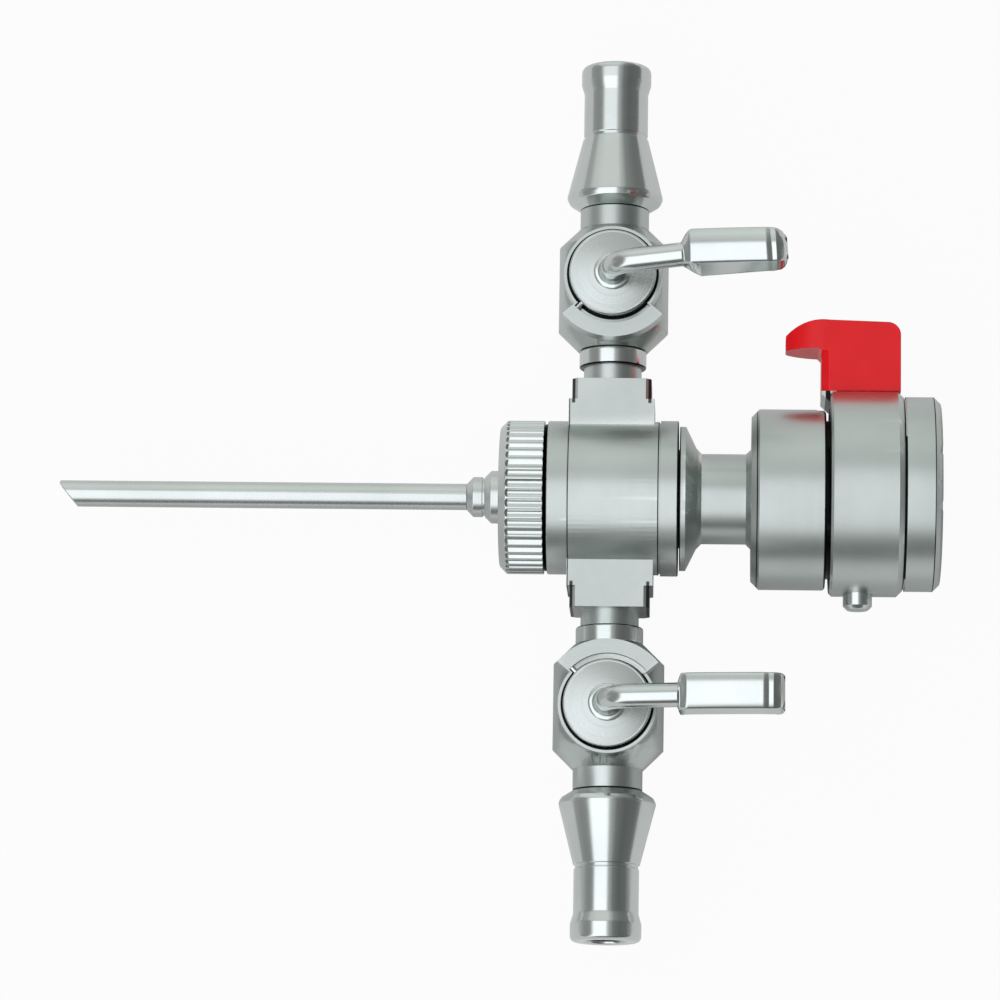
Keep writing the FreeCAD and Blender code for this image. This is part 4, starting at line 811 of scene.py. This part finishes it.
def rodRows(angles):
    rows = [rodRing(angles, 0, z, 0, lever["stemR"]) for z in lever["stemRows"]]
    full = 90 - lever["rise"]
    for i in range(1, lever["bendRows"] + 1):
        share = i / lever["bendRows"]
        turn = math.radians(full * share)
        x = lever["bendR"] * (1 - math.cos(turn))
        z = lever["stemEnd"] + lever["bendR"] * math.sin(turn)
        rows.append(rodRing(angles, x, z, full * share, lever["stemR"] + (lever["rodR"] - lever["stemR"]) * share))
    neckZ = lever["neckTop"] - lever["rodR"]
    for share in lever["rodRows"]:
        rows.append(rodRing(angles, x + (lever["neck"] - x) * share, z + (neckZ - z) * share,
                            full + lever["rise"] * share, lever["rodR"]))
    return rows


def plateRows(plate, angles):
    # the plate grows out of the rod
    rows = []
    s, top = lever["neck"], lever["neckTop"]
    low, high = plate["blend"]
    while s < lever["tip"] - 0.01:
        share = min(max((s - low) / (high - low), 0.0), 1.0)
        share = share * (2 - share)
        rod = [(side, top - lever["rodR"] + up) for side, up in circle(angles, lever["rodR"])]
        flat = plateSection(plate, s, top)
        back = (s - lever["neck"]) * math.tan(math.radians(plate["bend"]))
        rows.append([(s, u0 + (u1 - u0) * share - back, w0 + (w1 - w0) * share)
                     for (u0, w0), (u1, w1) in zip(rod, flat)])
        top -= math.tan(math.radians(fromTable(lever["slope"], s + lever["step"] / 2))) * lever["step"]
        s += lever["step"]
    return rows


def makeLever(side, sign):
    plate = plates[side]
    count = len(plateSection(plate, lever["neck"], lever["neckTop"]))
    angles = rodAngles(count)
    rows = rodRows(angles) + plateRows(plate, angles)
    faces = [[r * count + c, r * count + (c + 1) % count, (r + 1) * count + (c + 1) % count, (r + 1) * count + c]
             for r in range(len(rows) - 1) for c in range(count)]
    faces += [list(range(count)), [(len(rows) - 1) * count + c for c in range(count)]]
    place = (Matrix.Translation((cockX * mm, sign * plugY * mm, 0))
             @ Matrix.Rotation(math.radians(plate["lean"]), 4, "Z"))
    mesh = bpy.data.meshes.new(side + "_lever_shaped")
    mesh.from_pydata([place @ (Vector(point) * mm) for row in rows for point in row], [], faces)
    closeSkin(mesh)
    mesh.shade_smooth()
    mesh.materials.append(brightCock)
    standIn(addObject(side + "_lever_shaped", mesh), side + "_lever")
    foot = turnedPiece(side + "_lever_foot", lever["foot"], brightCock, "Z", (cockX, sign * plugY, 0))
    rideAlong(foot, side + "_lever")


makeNut()
makeFerrule()
for side, sign in (("upper", 1), ("lower", -1)):
    makeOutletRings(side, sign)
    makeLever(side, sign)
    makePlugDome(side, sign, spunUpper if sign > 0 else spunLower)
print("pieces dressed")


def makeFloor():
    look = {"size": 6.0, "drop": 0.0002, "paint": 0.50, "glow": 0.95,
            "near": 0.03, "far": 0.40, "beside": 0.40,     # shares of the glow seen in the steel
            "shade": (0.0, 0.015), "sides": (0.038, 0.052)}     # across, where the shares change
    bpy.ops.mesh.primitive_plane_add(size=look["size"], location=(0, 0, cadBox[0][2] - look["drop"]))
    floor = bpy.context.object
    floor.name = "floor"
    material = bpy.data.materials.new("paleFloor")
    material.use_nodes = True
    tree = material.node_tree
    tree.nodes.clear()
    out = addNode(tree, "ShaderNodeOutputMaterial")
    diffuse = addNode(tree, "ShaderNodeBsdfDiffuse")
    diffuse.inputs[0].default_value = (*[look["paint"]] * 3, 1)
    glow = addNode(tree, "ShaderNodeEmission")
    glow.inputs[0].default_value = (1, 1, 1, 1)
    rays = addNode(tree, "ShaderNodeLightPath")
    mirrored = mathNode(tree, "MAXIMUM", rays.outputs["Is Glossy Ray"], rays.outputs["Is Transmission Ray"])
    # under the tube the floor lies in the object's own shade, so the steel sees less of its glow there
    place = addNode(tree, "ShaderNodeTexCoord")
    parts = addNode(tree, "ShaderNodeSeparateXYZ")
    wire(tree, (place.outputs["Object"], parts.inputs[0]))
    under = rangeNode(tree, parts.outputs[1], *look["shade"], look["near"], look["far"], True)
    outside = rangeNode(tree, mathNode(tree, "ABSOLUTE", parts.outputs[1]), *look["sides"], 0.0, 1.0, True)
    share = rangeNode(tree, outside, 0.0, 1.0, under, look["beside"])
    seen = mathNode(tree, "MAXIMUM", rays.outputs["Is Camera Ray"], mathNode(tree, "MULTIPLY", mirrored, share))
    mix = addNode(tree, "ShaderNodeMixShader")
    wire(tree, (mathNode(tree, "MULTIPLY", seen, look["glow"]), mix.inputs[0]), (diffuse.outputs[0], mix.inputs[1]),
         (glow.outputs[0], mix.inputs[2]), (mix.outputs[0], out.inputs[0]))
    floor.data.materials.append(material)


def makeWorld():
    # a broad window high on the near left, a mid grey room beyond, dark at the sides and at the near horizon
    look = {"window": (1.42, 1.45, 1.51), "room": (0.96, 1.0, 0.98), "strength": 1.0,
            "windowX": (-0.72, -0.60, 0.02, 0.14), "windowY": (-0.88, -0.74, 0.20, 0.38),
            "across": ((0.0, 0.14), (0.04, 0.22), (0.10, 0.40), (0.20, 0.56), (0.60, 0.58), (0.68, 0.62),
                       (0.78, 0.76), (0.90, 0.88), (1.0, 0.80)),
            "along": ((0.0, 0.90), (0.02, 0.62), (0.05, 0.54), (0.11, 0.56), (0.16, 0.90), (0.30, 1.0),
                      (0.56, 1.0), (0.63, 0.70), (0.72, 0.36), (0.86, 0.26), (0.97, 0.30), (1.0, 0.60)),
            "horizon": 0.1}     # the window fades out below this height
    world = bpy.data.worlds.new("studio")
    bpy.context.scene.world = world
    world.use_nodes = True
    tree = world.node_tree
    tree.nodes.clear()
    out = addNode(tree, "ShaderNodeOutputWorld")
    back = addNode(tree, "ShaderNodeBackground")
    back.inputs[1].default_value = look["strength"]
    coords = addNode(tree, "ShaderNodeTexCoord")
    parts = addNode(tree, "ShaderNodeSeparateXYZ")
    wire(tree, (coords.outputs["Generated"], parts.inputs[0]))
    masks = []
    for index, key in ((0, "windowX"), (1, "windowY")):
        lowOut, lowIn, highIn, highOut = look[key]
        masks.append(rangeNode(tree, parts.outputs[index], lowOut, lowIn, 0.0, 1.0, True))
        masks.append(rangeNode(tree, parts.outputs[index], highIn, highOut, 1.0, 0.0, True))
    window = masks[0]
    for mask in masks[1:]:
        window = mathNode(tree, "MULTIPLY", window, mask)
    window = mathNode(tree, "MULTIPLY", window,
                      rangeNode(tree, parts.outputs["Z"], 0.0, look["horizon"], 0.0, 1.0))
    ramps = []
    for index, key in ((1, "across"), (0, "along")):
        ramp = addNode(tree, "ShaderNodeValToRGB")
        ramp.color_ramp.interpolation = "EASE"
        first, *between, last = look[key]
        elements = ramp.color_ramp.elements
        for element, (position, value) in zip(list(elements), (first, last)):
            element.position = position
            element.color = (value, value, value, 1)
        for position, value in between:
            elements.new(position).color = (value, value, value, 1)
        wire(tree, (rangeNode(tree, parts.outputs[index], -1.0, 1.0, 0.0, 1.0), ramp.inputs[0]))
        ramps.append(ramp.outputs[0])
    room = mixNode(tree, mixNode(tree, ramps[0], ramps[1], 1.0, "MULTIPLY"), look["room"], 1.0, "MULTIPLY")
    wire(tree, (mixNode(tree, room, look["window"], window), back.inputs[0]), (back.outputs[0], out.inputs[0]))


def makeLight():
    # a wide soft fill for the plastic and the floor; the steel mirrors the room alone
    look = {"place": (-0.25, -0.35, 1.1), "size": (1.1, 0.9), "power": 5.0, "aim": (-0.03, 0, 0)}
    light = bpy.data.lights.new("fillBox", "AREA")
    light.shape = "RECTANGLE"
    light.size, light.size_y = look["size"]
    light.energy = look["power"]
    holder = addObject("fillBox", light)
    holder.location = look["place"]
    holder.rotation_euler = (Vector(look["aim"]) - Vector(look["place"])).to_track_quat("-Z", "Y").to_euler()
    holder.visible_glossy = False


def makeCamera():
    view = {"yaw": 2.5, "pitch": 11.0, "roll": -1.0, "distance": 5000.0, "shift": (0.4, 2.7),
            "pixel": 0.152, "middleX": -48.84,      # angles in degrees, lengths in photo pixels, pixel size in mm
            "sensor": 36.0, "photoWidth": 1000.0, "nearest": 0.01}
    a, b, r = (math.radians(view[k]) for k in ("yaw", "pitch", "roll"))
    yawTurn = Matrix(((math.cos(a), 0, -math.sin(a)), (0, 1, 0), (math.sin(a), 0, math.cos(a))))
    pitchTurn = Matrix(((1, 0, 0), (0, math.cos(b), math.sin(b)), (0, -math.sin(b), math.cos(b))))
    rollTurn = Matrix(((math.cos(r), -math.sin(r), 0), (math.sin(r), math.cos(r), 0), (0, 0, 1)))
    turn = (rollTurn @ pitchTurn @ yawTurn).transposed()
    spot = turn @ Vector((-view["shift"][0], -view["shift"][1], view["distance"])) * view["pixel"]
    spot.x += view["middleX"]
    camera = bpy.data.cameras.new("camera")
    camera.lens = view["sensor"] * view["distance"] / view["photoWidth"]
    camera.sensor_width = view["sensor"]
    camera.clip_start = view["nearest"]
    holder = addObject("camera", camera)
    holder.matrix_world = Matrix.Translation(spot * mm) @ turn.to_4x4()
    bpy.context.scene.camera = holder


makeFloor()
makeWorld()
makeLight()
makeCamera()
bpy.context.scene.view_settings.view_transform = "Standard"
print("studio set")
